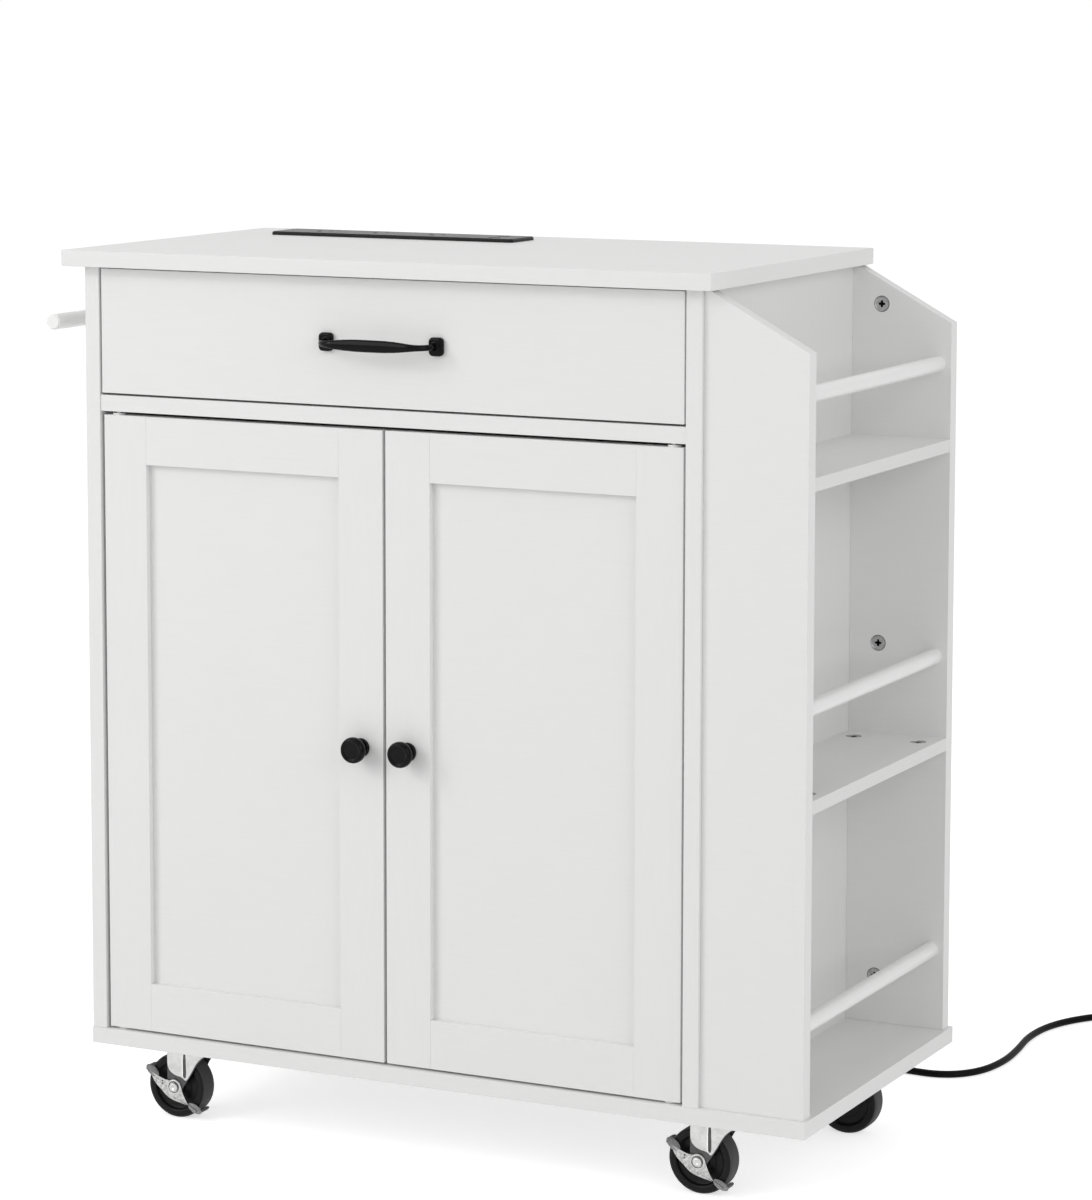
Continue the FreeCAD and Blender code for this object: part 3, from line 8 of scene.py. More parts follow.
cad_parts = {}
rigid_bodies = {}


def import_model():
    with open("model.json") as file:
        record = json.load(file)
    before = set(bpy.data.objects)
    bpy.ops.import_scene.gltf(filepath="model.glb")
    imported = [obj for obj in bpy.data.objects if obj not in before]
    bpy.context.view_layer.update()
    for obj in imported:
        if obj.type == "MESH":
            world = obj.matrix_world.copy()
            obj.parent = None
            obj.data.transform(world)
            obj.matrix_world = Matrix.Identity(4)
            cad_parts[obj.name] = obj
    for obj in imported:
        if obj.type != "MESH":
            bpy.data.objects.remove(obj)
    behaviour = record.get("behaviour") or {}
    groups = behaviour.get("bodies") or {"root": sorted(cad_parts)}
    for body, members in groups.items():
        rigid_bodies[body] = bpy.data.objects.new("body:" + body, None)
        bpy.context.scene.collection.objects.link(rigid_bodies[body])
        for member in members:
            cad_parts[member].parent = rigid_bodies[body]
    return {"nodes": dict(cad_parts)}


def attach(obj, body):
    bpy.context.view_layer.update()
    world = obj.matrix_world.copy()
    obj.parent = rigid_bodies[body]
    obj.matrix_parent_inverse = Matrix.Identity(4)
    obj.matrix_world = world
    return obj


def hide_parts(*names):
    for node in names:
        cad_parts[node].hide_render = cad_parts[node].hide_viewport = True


bl_info = {
    "name": "Kitchen Trolley",
    "version": (1, 0, 0),
    "blender": (4, 5, 0),
    "location": "View3D > Sidebar > Trolley",
    "description": "Dresses a kitchen trolley's construction with its finishes, fittings and cord",
    "category": "Object",
}

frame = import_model()

# Groups of like pieces
SIDES = ("left", "right")
BRAKED_CORNERS = ("front_left", "front_right")
LEVEL_BOARDS = ("base_board", "divider_board", "top_board", "cupboard_shelf", "drawer_front",
                "drawer_back", "left_door_rails", "right_door_rails", "rack_front_panel",
                "rack_back_panel", "left_door_panel", "right_door_panel")
UPRIGHT_BOARDS = ("left_door_stiles", "right_door_stiles", "left_side_panel", "right_side_panel")
DEEP_BOARDS = ("drawer_left_side", "drawer_right_side", "rack_upper_shelf", "rack_middle_shelf")

# The photograph's camera: place, angles in degrees, lens in millimetres, rows of the picture
CAMERA_PLACE = (1.69375, -3.31775, 1.083)
CAMERA_TURN, CAMERA_DIP, CAMERA_ROLL = 26.225, 6.518, 0.088
CAMERA_LENS = 120.75
PICTURE_ROWS, CENTRE_ROW = 1200, 436

# Lamps: name, place, size and power; they aim at the middle of the trolley
LAMPS = (
    ("Front_softbox", (-2.6, -3.4, 2.3), 2.9, 68.5),
    ("Side_softbox", (3.5, -1.7, 2.0), 2.6, 36.0),
    ("Overhead_softbox", (-0.4, -0.2, 3.6), 2.8, 11.0),
    ("Glint_lamp", (-2.1, -2.1, 2.0), 0.25, 6.0),
)
LAMP_AIM = (0, 0, 0.42)
FLOOR_SIZE = 60
FLOOR_GLOW = 0.61
SKY_LIGHT, SKY_SEEN = 0.565, 1.0
WHITE = (1.0, 1.0, 1.0, 1.0)

# Control points of the cord's line, from the strain relief down to the floor and round to the coil
CORD_ROUTE = (
    (-0.05425, 0.19375, 0.802), (-0.05425, 0.22825, 0.802), (-0.05325, 0.25125, 0.783),
    (-0.05325, 0.26325, 0.748), (-0.05125, 0.27025, 0.69), (-0.04625, 0.27625, 0.61),
    (-0.04225, 0.27925, 0.52), (-0.04025, 0.28325, 0.43), (-0.03525, 0.28525, 0.34),
    (-0.03125, 0.28925, 0.25), (-0.02525, 0.29125, 0.165), (-0.01825, 0.29425, 0.095),
    (-0.00425, 0.29725, 0.045), (0.02175, 0.30025, 0.012), (0.05775, 0.30425, 0.0037),
    (0.10575, 0.31625, 0.0037), (0.16575, 0.33525, 0.0037), (0.22575, 0.34425, 0.0037),
    (0.28375, 0.34225, 0.0037), (0.32975, 0.33825, 0.0037), (0.35875, 0.36625, 0.0037),
    (0.36775, 0.41525, 0.0037), (0.36475, 0.46425, 0.0037), (0.35775, 0.51425, 0.0037),
    (0.36175, 0.56525, 0.0037), (0.38275, 0.61125, 0.0037), (0.42075, 0.65015, 0.0037),
    (0.46375, 0.65015, 0.0037),
)
# The coil: it winds inwards, then a layer higher outwards again; counted in quarter turns
COIL_CENTRE = (0.47075, 0.60525)
COIL_INNER = 0.0295
COIL_PITCH = 0.0077
COIL_QUARTERS = 17
COIL_MIDDLE = 8
COIL_STEP = 0.25
PLUG_LEAD = 0.007

# Turned profiles in millimetres: radius and height
KNOB_PROFILE = (
    (8.3, 0), (8.75, 0.4), (8.75, 1.7), (8.4, 2.5), (7.5, 3.0), (6.2, 3.3), (5.1, 4.2), (4.6, 5.6),
    (4.5, 7.2), (4.7, 8.8), (5.7, 10.2), (7.8, 11.2), (10.2, 11.8), (11.3, 12.5), (11.9, 13.7),
    (12.0, 15.2), (11.9, 16.7), (11.5, 18.2), (10.8, 19.3), (10.0, 19.9), (9.3, 20.0), (8.7, 19.8),
    (8.2, 19.3), (7.6, 19.0), (6.0, 19.1), (3.0, 19.3), (0.4, 19.35),
)
CAM_PROFILE = (
    (7.3, 0), (7.5, 0.3), (7.5, 9.1), (7.35, 9.4), (7.05, 9.5), (6.6, 9.5), (6.4, 9.3), (6.2, 8.95),
    (4.5, 9.0), (2.0, 9.05), (0.4, 9.05),
)
WHEEL_SIDE = (
    (3.05, 11.1), (3.4, 11.3), (7.6, 11.3), (8.5, 11.1), (8.95, 10.5), (9.2, 8.6), (9.7, 7.5),
    (10.6, 7.05), (14.6, 7.0), (14.9, 6.6), (15.5, 6.6), (15.8, 7.0), (20.8, 7.0), (21.8, 7.25),
    (22.5, 8.0), (23.0, 9.5), (23.6, 10.2), (24.6, 10.5), (27.2, 10.5), (28.6, 10.25), (29.8, 9.5),
    (30.6, 8.4), (30.95, 7.0),
)
RIVET_PROFILE = (
    (4.3, 0), (4.5, 0.25), (4.4, 0.7), (3.9, 1.15), (3.0, 1.42), (2.2, 1.5), (1.6, 1.3), (1.1, 0.9),
    (0.3, 0.75),
)
RACEWAY_PROFILE = (
    (21.0, -1.9), (21.0, -4.2), (20.6, -5.6), (19.4, -7.2), (17.9, -8.5), (17.0, -9.0), (4.0, -9.0),
    (4.0, -11.6), (6.6, -11.6), (7.0, -12.0), (7.0, -13.0), (6.4, -13.8), (4.8, -14.1),
    (0.4, -14.1),
)
SCREW_PROFILE = (
    (2.2, 1.0), (2.2, -0.1), (4.3, -0.1), (4.4, -0.5), (3.9, -1.3), (2.8, -1.9), (1.4, -2.15),
    (0.3, -2.2),
)
LOWER_RACE_PROFILE = (
    (17.5, 36.9), (18.6, 37.0), (20.2, 37.8), (21.0, 39.0), (21.0, 39.7), (4.5, 39.7),
)
RIB_PROFILE = ((0.5, 9.8), (1.2, 10.8), (1.6, 13), (1.7, 17), (1.4, 25), (1.0, 37.8))
BOSS_PROFILE = ((7.4, -0.3), (6.9, 0.3), (6.2, 0.6), (5.8, 0.5), (5.3, 0.1), (4.9, -0.4))
PIP_PROFILE = ((0.9, -0.2), (0.8, 0.25), (0.4, 0.35))
# Fork's leg and the raised panel pressed in it, and the brake lever: right and up from the axle
LEG_OUTLINE = (
    (-8, 0), (-7.4, -3.06), (-5.66, -5.66), (-3.06, -7.39), (0, -8), (3.06, -7.39), (5.66, -5.66),
    (7.3, -3.1), (9.4, 0.1), (13.9, 6.6), (18.0, 12.7), (20.7, 17.2), (23.2, 21.8), (26.2, 26.2),
    (29.8, 29.9), (34.4, 33.1), (39.8, 35.5), (46.0, 36.9), (46.0, 38.6), (-8, 38.6),
)
PRESSED_OUTLINE = (
    (-7.5, 37.6), (-7.5, 22.0), (-6.6, 18.3), (-4.4, 15.0), (-1.0, 12.6), (3.0, 11.2), (7.2, 10.6),
    (10.2, 9.2), (12.3, 7.2), (14.2, 8.2), (17.4, 13.1), (20.1, 17.6), (22.7, 22.3), (25.8, 26.9),
    (29.5, 30.6), (34.2, 33.9), (38.6, 36.0), (42.5, 36.9), (42.5, 37.6),
)
LEVER_OUTLINE = (
    (-25.3, 12.0), (-21.1, 10.7), (-12.4, 7.8), (-8.7, 6.65), (1.3, 6.7), (5.6, 5.6), (8.1, 2.5),
    (9.7, -3.6), (11.9, -8.4), (15.6, -14.8), (18.0, -17.0), (14.4, -16.7), (5.7, -15.0),
    (-3.6, -12.8), (-9.9, -9.0), (-14.9, -3.9), (-20.5, 0.5), (-23.6, 5.2), (-27.3, 12.7),
)
# A lever's pedals: the root and the outer edge of the upper face, and where the neck ends
PEDALS = (((-25.3, 12.0), (-31.6, 17.0), 0.47), ((15.6, -14.8), (28.2, -21.8), 0.722))
PEDAL_DEPTH, NECK_DEPTH = 21, 4
LEVER_SHEET = 0.0015
# Their oval pads: right and up from the axle, half length and height, and slope in degrees
PADS = ((-24.2, 13.2, 8.0, 4.1, 38), (22.3, -18.6, 8.0, 3.6, 29))
PAD_LEAN = -0.45
PAD_FACE = 0.0140
PAD_SHEET = 0.0011
PAD_POINTS = 24
# Casters: the kingpin's lead over the axle, and heights over the floor
TRAIL = 0.0225
AXLE_HEIGHT = 0.031
PLATE_HEIGHT = 0.08
# Distances of outer faces from the wheel's middle plane
LEG_FACE = 0.0137
PANEL_FACE = 0.0145
LEVER_FACE = 0.0155
RIVET_FACE = 0.0158
# The lever's two pips: right and up from the axle
PIP_PLACES = ((-0.0127, 0.0048), (-0.0130, 0.0022))
# Forks: sheets, place and squeeze of the rib and of the thin strip beside it that carries a painted
# highlight, the crown's size and place
LEG_SHEET, PANEL_SHEET = 0.002, 0.0011
RIB_PLACE, RIB_SQUEEZE = (0.0117, -0.0144, 0), (1, 0.5, 1)
HIGHLIGHT_STRIP_PLACE, HIGHLIGHT_STRIP_SQUEEZE = (0.0096, -0.0143, 0), (0.55, 0.8, 1)
CROWN_SIZE, CROWN_PLACE = (0.054, 0.0274, 0.002), (0.019, 0, 0.0387)
# The lever's flat rim, the slope inside it and how deep its dish lies; the rim carries a painted
# highlight and the slope painted shade
LEVER_RIM = 0.0014
LEVER_SLOPE = 0.0007
LEVER_DISH = 0.0007
# Where the wheels' tread begins, where the painted shade ring on the cams' rim begins, and how far
# the painted shade in the bosses' hollow reaches
TREAD_RADIUS = 0.0292
CAM_SHADE_RADIUS = 6.9e-3
BOSS_SHADE_RADIUS = 5.7e-3
# Mounting plates in millimetres: length, width, and the screws' distance from the middle
PLATE_LENGTH, PLATE_WIDTH = 55, 45
SCREW_ACROSS, SCREW_BACK = 21.5, 16.5
SCREW_SINK = -0.0019
# Cross recesses in millimetres: reach, width, level of the mouth, and depth
SCREW_CROSS = (4.2, 1.1, -2.2, 0.8)
CAM_CROSS = (6.6, 2.6, 9.05, 2.6)
# Each caster's kingpin, and which way its fork trails
CASTER_PLACES = {
    "front_left": (-0.25325, -0.10475, 1), "front_right": (0.29275, -0.10475, 1),
    "rear_left": (-0.25325, 0.13025, -1), "rear_right": (0.29275, 0.13025, -1),
}
# Cam fittings: their depth, and each one's place of the face and the way it looks
CAM_DEPTH = 0.0095
CAM_PLACES = (
    [((0.32075, -0.14925, height), "back") for height in (0.14, 0.46, 0.78)]
    + [((0.32075, 0.17725, height), "front") for height in (0.14, 0.46, 0.78)]
    + [((across, back, 0.375), "up")
       for across in (0.30875, 0.37325) for back in (-0.12025, 0.14825)]
)
WAYS = {"front": (math.pi / 2, 0, 0), "back": (-math.pi / 2, 0, 0), "up": (0, 0, 0)}
# Knobs: the distance of each from the trolley's middle, the doors' face and the height
KNOB_ACROSS = {"left": -0.04525, "right": 0.00275}
KNOB_FACE, KNOB_HEIGHT = -0.16575, 0.3875
# Drawer pull: the grain it is remodelled at, smoothing passes, and the share of faces kept
PULL_GRAIN, PULL_PASSES, PULL_SHARE = 0.00045, 14, 0.35
# Strain relief: its foot's place, and its foot, ribs and tip in millimetres
RELIEF_PLACE = (-0.05425, 0.14375, 0.802)
RELIEF_FOOT = ((6.0, 0), (6.5, 0.5), (6.5, 3.0))
RELIEF_TIP = ((4.1, 46.6), (4.5, 47.2), (4.5, 49.2), (4.1, 50), (3.6, 50))
RIB_COUNT, RIB_PITCH, RIB_START = 9, 4.7, 4.2
RIB_RADIUS, RIB_TAPER, RIB_DEPTH = 6.3, 0.21, 1.3
# Edges of thin fittings, and the distance within which vertices count as one
FITTING_EASE = 0.0003
MERGE_DISTANCE = 0.00001


class TrolleyColours(bpy.types.PropertyGroup):
    """Colours of the trolley's finishes."""
    laminate: FloatVectorProperty(
        name="Laminate", description="Faces of the laminated boards", subtype="COLOR",
        min=0, max=1, default=(0.79, 0.79, 0.785))
    edge_band: FloatVectorProperty(
        name="Edge band", description="Bands glued on the boards' edges", subtype="COLOR",
        min=0, max=1, default=(0.84, 0.84, 0.835))
    lacquer: FloatVectorProperty(
        name="Lacquer", description="Rails and towel rail", subtype="COLOR",
        min=0, max=1, default=(0.87, 0.87, 0.865))
    back_sheet: FloatVectorProperty(
        name="Back sheet", description="Painted sheet behind the cupboard", subtype="COLOR",
        min=0, max=1, default=(0.72, 0.72, 0.71))
    black_paint: FloatVectorProperty(
        name="Black paint", description="Drawer pull and door knobs", subtype="COLOR",
        min=0, max=1, default=(0.002, 0.002, 0.002))
    zinc: FloatVectorProperty(
        name="Zinc", description="Forks, brake levers, plates and runners", subtype="COLOR",
        min=0, max=1, default=(0.60, 0.60, 0.595))
    # Painted shade: a dark zinc put on the forks' legs and ribs, the levers' slopes, boss hollows
    # and pips, and the cams' outer ring, where shadow and dark reflection fall
    painted_shade_zinc: FloatVectorProperty(
        name="Zinc with painted shade", description="Steep flanks of the forks and levers", subtype="COLOR",
        min=0, max=1, default=(0.10, 0.10, 0.10))
    # Painted highlight: a bright zinc put on the levers' rims and pads' lower edges and on the thin
    # strip beside each fork's rib
    painted_highlight_zinc: FloatVectorProperty(
        name="Painted highlight zinc", description="Rims and bosses of the brake levers", subtype="COLOR",
        min=0, max=1, default=(0.86, 0.86, 0.85))
    cam_alloy: FloatVectorProperty(
        name="Cam alloy", description="Cam fittings in the rack's boards", subtype="COLOR",
        min=0, max=1, default=(0.54, 0.54, 0.54))
    # Painted shade: near-black put inside the cams' and screws' cross recesses
    recess: FloatVectorProperty(
        name="Recess", description="Cross recesses of the cams and screws", subtype="COLOR",
        min=0, max=1, default=(0.004, 0.004, 0.004))
    wheel_body: FloatVectorProperty(
        name="Wheel body", description="Moulded sides of the wheels", subtype="COLOR",
        min=0, max=1, default=(0.007, 0.007, 0.007))
    wheel_tread: FloatVectorProperty(
        name="Wheel tread", description="Running surface of the wheels", subtype="COLOR",
        min=0, max=1, default=(0.085, 0.085, 0.085))
    # Pedal treads: a dark steel tone, partly the knurled steel's own and partly painted shade
    knurl_with_shade: FloatVectorProperty(
        name="Knurled steel with painted shade", description="Treads of the brake pedals", subtype="COLOR",
        min=0, max=1, default=(0.30, 0.30, 0.30))
    strip_plastic: FloatVectorProperty(
        name="Strip plastic", description="Cover and body of the power strip", subtype="COLOR",
        min=0, max=1, default=(0.006, 0.006, 0.006))
    rubber: FloatVectorProperty(
        name="Rubber", description="Mains cord, strain relief and plug", subtype="COLOR",
        min=0, max=1, default=(0.003, 0.003, 0.003))
    blade_brass: FloatVectorProperty(
        name="Blade metal", description="Blades of the mains plug", subtype="COLOR",
        min=0, max=1, default=(0.76, 0.72, 0.60))
    floor: FloatVectorProperty(
        name="Floor", description="Studio floor", subtype="COLOR",
        min=0, max=1, default=(0.80, 0.80, 0.80))


class TrolleySizes(bpy.types.PropertyGroup):
    """Sizes of the details that the finishing adds."""
    board_ease: FloatProperty(
        name="Board ease", description="Rounding of the boards' edges", unit="LENGTH",
        min=0.0001, max=0.002, default=0.0004)
    steel_ease: FloatProperty(
        name="Steel ease", description="Rounding of the sheet steel's edges", unit="LENGTH",
        min=0.0001, max=0.001, default=0.0004)
    cord_diameter: FloatProperty(
        name="Cord diameter", description="Thickness of the mains cord", unit="LENGTH",
        min=0.004, max=0.01, default=0.007)


# Shader nodes
def empty_tree(made):
    """The cleared node tree of a new material or world."""
    made.use_nodes = True
    made.node_tree.nodes.clear()
    return made.node_tree


def add_node(tree, kind, values=None, **settings):
    """A new node; values are sockets to link, or constants, by input name or number."""
    made = tree.nodes.new(kind)
    for key, value in settings.items():
        setattr(made, key, value)
    for key, value in (values or {}).items():
        if isinstance(value, bpy.types.NodeSocket):
            tree.links.new(value, made.inputs[key])
        else:
            made.inputs[key].default_value = value
    return made


def maths(tree, operation, first, second=0.0):
    return add_node(tree, "ShaderNodeMath", {0: first, 1: second}, operation=operation).outputs[0]


def spread(tree, value, low, high, out_low, out_high):
    """A value's range from low to high moved to another range, and held there."""
    return add_node(tree, "ShaderNodeMapRange", {
        "Value": value, "From Min": low, "From Max": high, "To Min": out_low, "To Max": out_high,
    }).outputs["Result"]


def noise(tree, place, scale, detail, **more):
    return add_node(tree, "ShaderNodeTexNoise", {
        "Vector": place, "Scale": scale, "Detail": detail, **more}).outputs[0]


def stretched(tree, place, factors):
    return add_node(tree, "ShaderNodeVectorMath", {0: place, 1: factors},
                    operation="MULTIPLY").outputs[0]


def shaded(tree, colour, amount):
    """A colour made darker by an amount that varies over the surface."""
    return add_node(tree, "ShaderNodeMix", {
        "Factor": amount, 6: colour, 7: (0.0, 0.0, 0.0, 1.0),
    }, data_type="RGBA").outputs[2]


def effect_group(name, inputs):
    """A node group with the given inputs, and colour, roughness and height as outputs."""
    tree = bpy.data.node_groups.new(name, "ShaderNodeTree")
    for label, kind, default in inputs:
        socket = tree.interface.new_socket(label, in_out="INPUT", socket_type="NodeSocket" + kind)
        socket.default_value = default
    for label, kind in (("Colour", "Color"), ("Roughness", "Float"), ("Height", "Float")):
        tree.interface.new_socket(label, in_out="OUTPUT", socket_type="NodeSocket" + kind)
    enter = tree.nodes.new("NodeGroupInput")
    leave = tree.nodes.new("NodeGroupOutput")
    return tree, enter.outputs, leave.inputs


def hand_out(tree, leave, colour, roughness, height):
    for label, socket in (("Colour", colour), ("Roughness", roughness), ("Height", height)):
        tree.links.new(socket, leave[label])


def laminate_group():
    """Fine pressed grain on a board's faces, and a plain smooth band on its edges."""
    tree, enter, leave = effect_group("Laminate grain", (
        ("Colour", "Color", (0.8, 0.8, 0.8, 1.0)),
        ("Edge Colour", "Color", (0.85, 0.85, 0.85, 1.0)),
        ("Grain", "Vector", (25.0, 400.0, 400.0)),
        ("Along", "Vector", (1.0, 0.0, 0.0)),
        ("Roughness", "Float", 0.45),
    ))
    place = add_node(tree, "ShaderNodeTexCoord")
    streak = noise(tree, stretched(tree, place.outputs["Object"], enter["Grain"]), 1.0, 5.0,
                   Roughness=0.62)
    cloud = noise(tree, place.outputs["Object"], 9.0, 2.0)
    facing = add_node(tree, "ShaderNodeVectorMath", {0: place.outputs["Normal"], 1: enter["Along"]},
                      operation="DOT_PRODUCT").outputs["Value"]
    end = maths(tree, "GREATER_THAN", maths(tree, "ABSOLUTE", facing), 0.55)
    pore = spread(tree, streak, 0.40, 0.68, 0.0, 1.0)
    tone = maths(tree, "ADD", maths(tree, "MULTIPLY", pore, 0.012),
                 spread(tree, cloud, 0.3, 0.7, 0.0, 0.008))
    face = shaded(tree, enter["Colour"], tone)
    colour = add_node(tree, "ShaderNodeMix", {"Factor": end, 6: face, 7: enter["Edge Colour"]},
                      data_type="RGBA").outputs[2]
    rough = maths(tree, "ADD", enter["Roughness"], maths(tree, "MULTIPLY", pore, 0.08))
    height = maths(tree, "MULTIPLY", pore, maths(tree, "SUBTRACT", 1.0, end))
    hand_out(tree, leave, colour, rough, height)
    return tree


def moulded_group():
    """Fine even texture of paint, moulded plastic or rubber."""
    tree, enter, leave = effect_group("Moulded surface", (
        ("Colour", "Color", (0.5, 0.5, 0.5, 1.0)),
        ("Fineness", "Float", 900.0),
        ("Unevenness", "Float", 0.1),
        ("Roughness", "Float", 0.4),
        ("Roughness Spread", "Float", 0.08),
    ))
    place = add_node(tree, "ShaderNodeTexCoord").outputs["Object"]
    fine = noise(tree, place, enter["Fineness"], 3.0, Roughness=0.55)
    broad = noise(tree, place, 38.0, 3.0)
    mottle = maths(tree, "MULTIPLY", spread(tree, broad, 0.3, 0.7, 0.0, 1.0), enter["Unevenness"])
    colour = shaded(tree, enter["Colour"], mottle)
    rough = maths(tree, "ADD", enter["Roughness"], maths(
        tree, "MULTIPLY", maths(tree, "SUBTRACT", broad, 0.5), enter["Roughness Spread"]))
    hand_out(tree, leave, colour, rough, fine)
    return tree


def plated_group():
    """Cloudy zinc plating with fine drawing marks."""
    tree, enter, leave = effect_group("Plated steel", (
        ("Colour", "Color", (0.75, 0.75, 0.75, 1.0)),
        ("Cloud Scale", "Float", 160.0),
        ("Cloud Depth", "Float", 0.12),
        ("Marks", "Vector", (90.0, 90.0, 1600.0)),
        ("Roughness", "Float", 0.34),
    ))
    place = add_node(tree, "ShaderNodeTexCoord").outputs["Object"]
    cloud = noise(tree, place, enter["Cloud Scale"], 5.0, Roughness=0.6, Distortion=0.6)
    marks = noise(tree, stretched(tree, place, enter["Marks"]), 1.0, 2.0)
    patch = spread(tree, cloud, 0.35, 0.68, 0.0, 1.0)
    colour = shaded(tree, enter["Colour"], maths(tree, "MULTIPLY", patch, enter["Cloud Depth"]))
    rough = maths(tree, "ADD", enter["Roughness"], maths(tree, "MULTIPLY", patch, 0.14))
    height = maths(tree, "ADD", maths(tree, "MULTIPLY", marks, 0.5),
                   maths(tree, "MULTIPLY", cloud, 0.5))
    hand_out(tree, leave, colour, rough, height)
    return tree


def opaque(colour):
    return (*colour, 1.0)


def finish_material(name, group, values, bump, **shader):
    """A Principled material fed by an effect group; shader holds the Principled's own constants."""
    made = bpy.data.materials.new(name)
    tree = empty_tree(made)
    effect = add_node(tree, "ShaderNodeGroup", node_tree=group)
    for label, value in values.items():
        effect.inputs[label].default_value = value
    strength, depth = bump
    relief = add_node(tree, "ShaderNodeBump", {
        "Strength": strength, "Distance": depth, "Height": effect.outputs["Height"]})
    surface = add_node(tree, "ShaderNodeBsdfPrincipled", {
        "Base Color": effect.outputs["Colour"], "Roughness": effect.outputs["Roughness"],
        "Normal": relief.outputs["Normal"]})
    for label, value in shader.items():
        surface.inputs[label.replace("_", " ")].default_value = value
    add_node(tree, "ShaderNodeOutputMaterial", {"Surface": surface.outputs[0]})
    made.diffuse_color = opaque(values["Colour"][:3])


def make_materials(colours):
    """All the trolley's finishes, once."""
    grain, moulded, plated = laminate_group(), moulded_group(), plated_group()

    for name, along in (("Laminate along width", (1.0, 0.0, 0.0)),
                        ("Laminate along depth", (0.0, 1.0, 0.0)),
                        ("Laminate upright", (0.0, 0.0, 1.0))):
        finish_material(name, grain, {
            "Colour": opaque(colours.laminate), "Edge Colour": opaque(colours.edge_band),
            "Grain": [25.0 if way else 420.0 for way in along], "Along": along,
            "Roughness": 0.42}, (0.04, 0.0001), Specular_IOR_Level=0.4)

    def skin(name, colour, fineness, uneven, rough, bump, shine=0.5, varnish=0.0):
        finish_material(name, moulded, {
            "Colour": opaque(colour), "Fineness": fineness, "Unevenness": uneven,
            "Roughness": rough}, bump, Specular_IOR_Level=shine, Coat_Weight=varnish)

    skin("White lacquer", colours.lacquer, 500.0, 0.02, 0.34, (0.05, 0.0003), varnish=0.15)
    skin("Painted back sheet", colours.back_sheet, 1400.0, 0.015, 0.62, (0.25, 0.0002))
    skin("Satin black paint", colours.black_paint, 1100.0, 0.25, 0.15, (0.06, 0.0002), 0.11)
    skin("Gloss black paint", colours.black_paint, 900.0, 0.25, 0.08, (0.04, 0.0002), 0.12)
    skin("Wheel plastic", colours.wheel_body, 1500.0, 0.3, 0.38, (0.12, 0.0002), 0.16)
    skin("Wheel tread", colours.wheel_tread, 2200.0, 0.3, 0.70, (0.30, 0.0002), 0.3)
    skin("Black plastic", colours.strip_plastic, 1800.0, 0.2, 0.34, (0.14, 0.0001), 0.18)
    skin("White plastic", colours.lacquer, 1800.0, 0.02, 0.30, (0.10, 0.0001))
    skin("Black rubber", colours.rubber, 2200.0, 0.3, 0.50, (0.18, 0.0002), 0.08)
    # Near-black that paints the shade inside cross recesses
    skin("Painted recess shade", colours.recess, 900.0, 0.3, 0.60, (0.10, 0.0001), 0.1)

    def plate(name, colour, cloud, depth, rough, bump):
        finish_material(name, plated, {
            "Colour": opaque(colour), "Cloud Scale": cloud, "Cloud Depth": depth,
            "Roughness": rough}, bump, Metallic=1.0)

    plate("Zinc plate", colours.zinc, 170.0, 0.14, 0.36, (0.16, 0.0002))
    # Dark zinc that paints shade on the forks, levers and cams
    plate("Zinc with painted shade", colours.painted_shade_zinc, 170.0, 0.20, 0.42, (0.16, 0.0002))
    plate("Mottled zinc", colours.zinc, 420.0, 0.55, 0.38, (0.40, 0.0003))
    # Knurled steel whose darker tone is partly painted shade
    plate("Knurled steel with painted shade", colours.knurl_with_shade, 900.0, 0.45, 0.55, (0.50, 0.0003))
    # Bright zinc that paints highlights on the levers and forks
    plate("Zinc with painted highlight", colours.painted_highlight_zinc, 300.0, 0.08, 0.22, (0.10, 0.0001))
    plate("Cam alloy", colours.cam_alloy, 420.0, 0.30, 0.42, (0.25, 0.0002))
    plate("Blade metal", colours.blade_brass, 300.0, 0.12, 0.24, (0.10, 0.0001))


def coat(piece, material):
    """Puts one finish on all of a piece."""
    finish = bpy.data.materials[material]
    if not piece.material_slots:
        piece.data.materials.append(finish)
    for slot in piece.material_slots:
        slot.material = finish
    return piece


# Modelling
def clear_selection():
    if bpy.context.object and bpy.context.object.mode != "OBJECT":
        bpy.ops.object.mode_set(mode="OBJECT")
    bpy.ops.object.select_all(action="DESELECT")


def choose(piece):
    clear_selection()
    piece.select_set(True)
    bpy.context.view_layer.objects.active = piece


def fresh(name):
    """The piece an operator has just made, with its name."""
    piece = bpy.context.object
    piece.name = piece.data.name = name
    return piece


def open_mesh():
    """Enters edit mode with the whole mesh selected."""
    bpy.ops.object.mode_set(mode="EDIT")
    bpy.ops.mesh.select_all(action="SELECT")


def ease_edges(node, width):
    """Rounds a flat-sided piece's edges with modifiers, and keeps its faces flat."""
    piece = frame["nodes"][node]
    weld = piece.modifiers.new("Weld", "WELD")
    weld.merge_threshold = MERGE_DISTANCE
    plain = piece.modifiers.new("Plain faces", "DECIMATE")
    plain.decimate_type = "DISSOLVE"
    plain.angle_limit = math.radians(0.5)
    ease = piece.modifiers.new("Eased edges", "BEVEL")
    ease.width = width
    ease.segments = 2
    ease.angle_limit = math.radians(40)
    even = piece.modifiers.new("Even shading", "WEIGHTED_NORMAL")
    even.weight = 100
    return piece


def shaped(piece, kind, **settings):
    """Gives a piece a modifier and applies it."""
    choose(piece)
    change = piece.modifiers.new(kind.title(), kind)
    for key, value in settings.items():
        setattr(change, key, value)
    bpy.ops.object.modifier_apply(modifier=change.name)
    return piece


def eased(piece, width, segments=2, angle=30.0):
    return shaped(piece, "BEVEL", width=width, segments=segments, angle_limit=math.radians(angle))


def smoothed(piece, angle=38.0):
    choose(piece)
    bpy.ops.object.shade_smooth_by_angle(angle=math.radians(angle))
    return piece


def close_up(piece):
    """Turns all faces outwards and leaves edit mode."""
    bpy.ops.mesh.select_all(action="SELECT")
    bpy.ops.mesh.normals_make_consistent(inside=False)
    bpy.ops.object.mode_set(mode="OBJECT")
    return piece


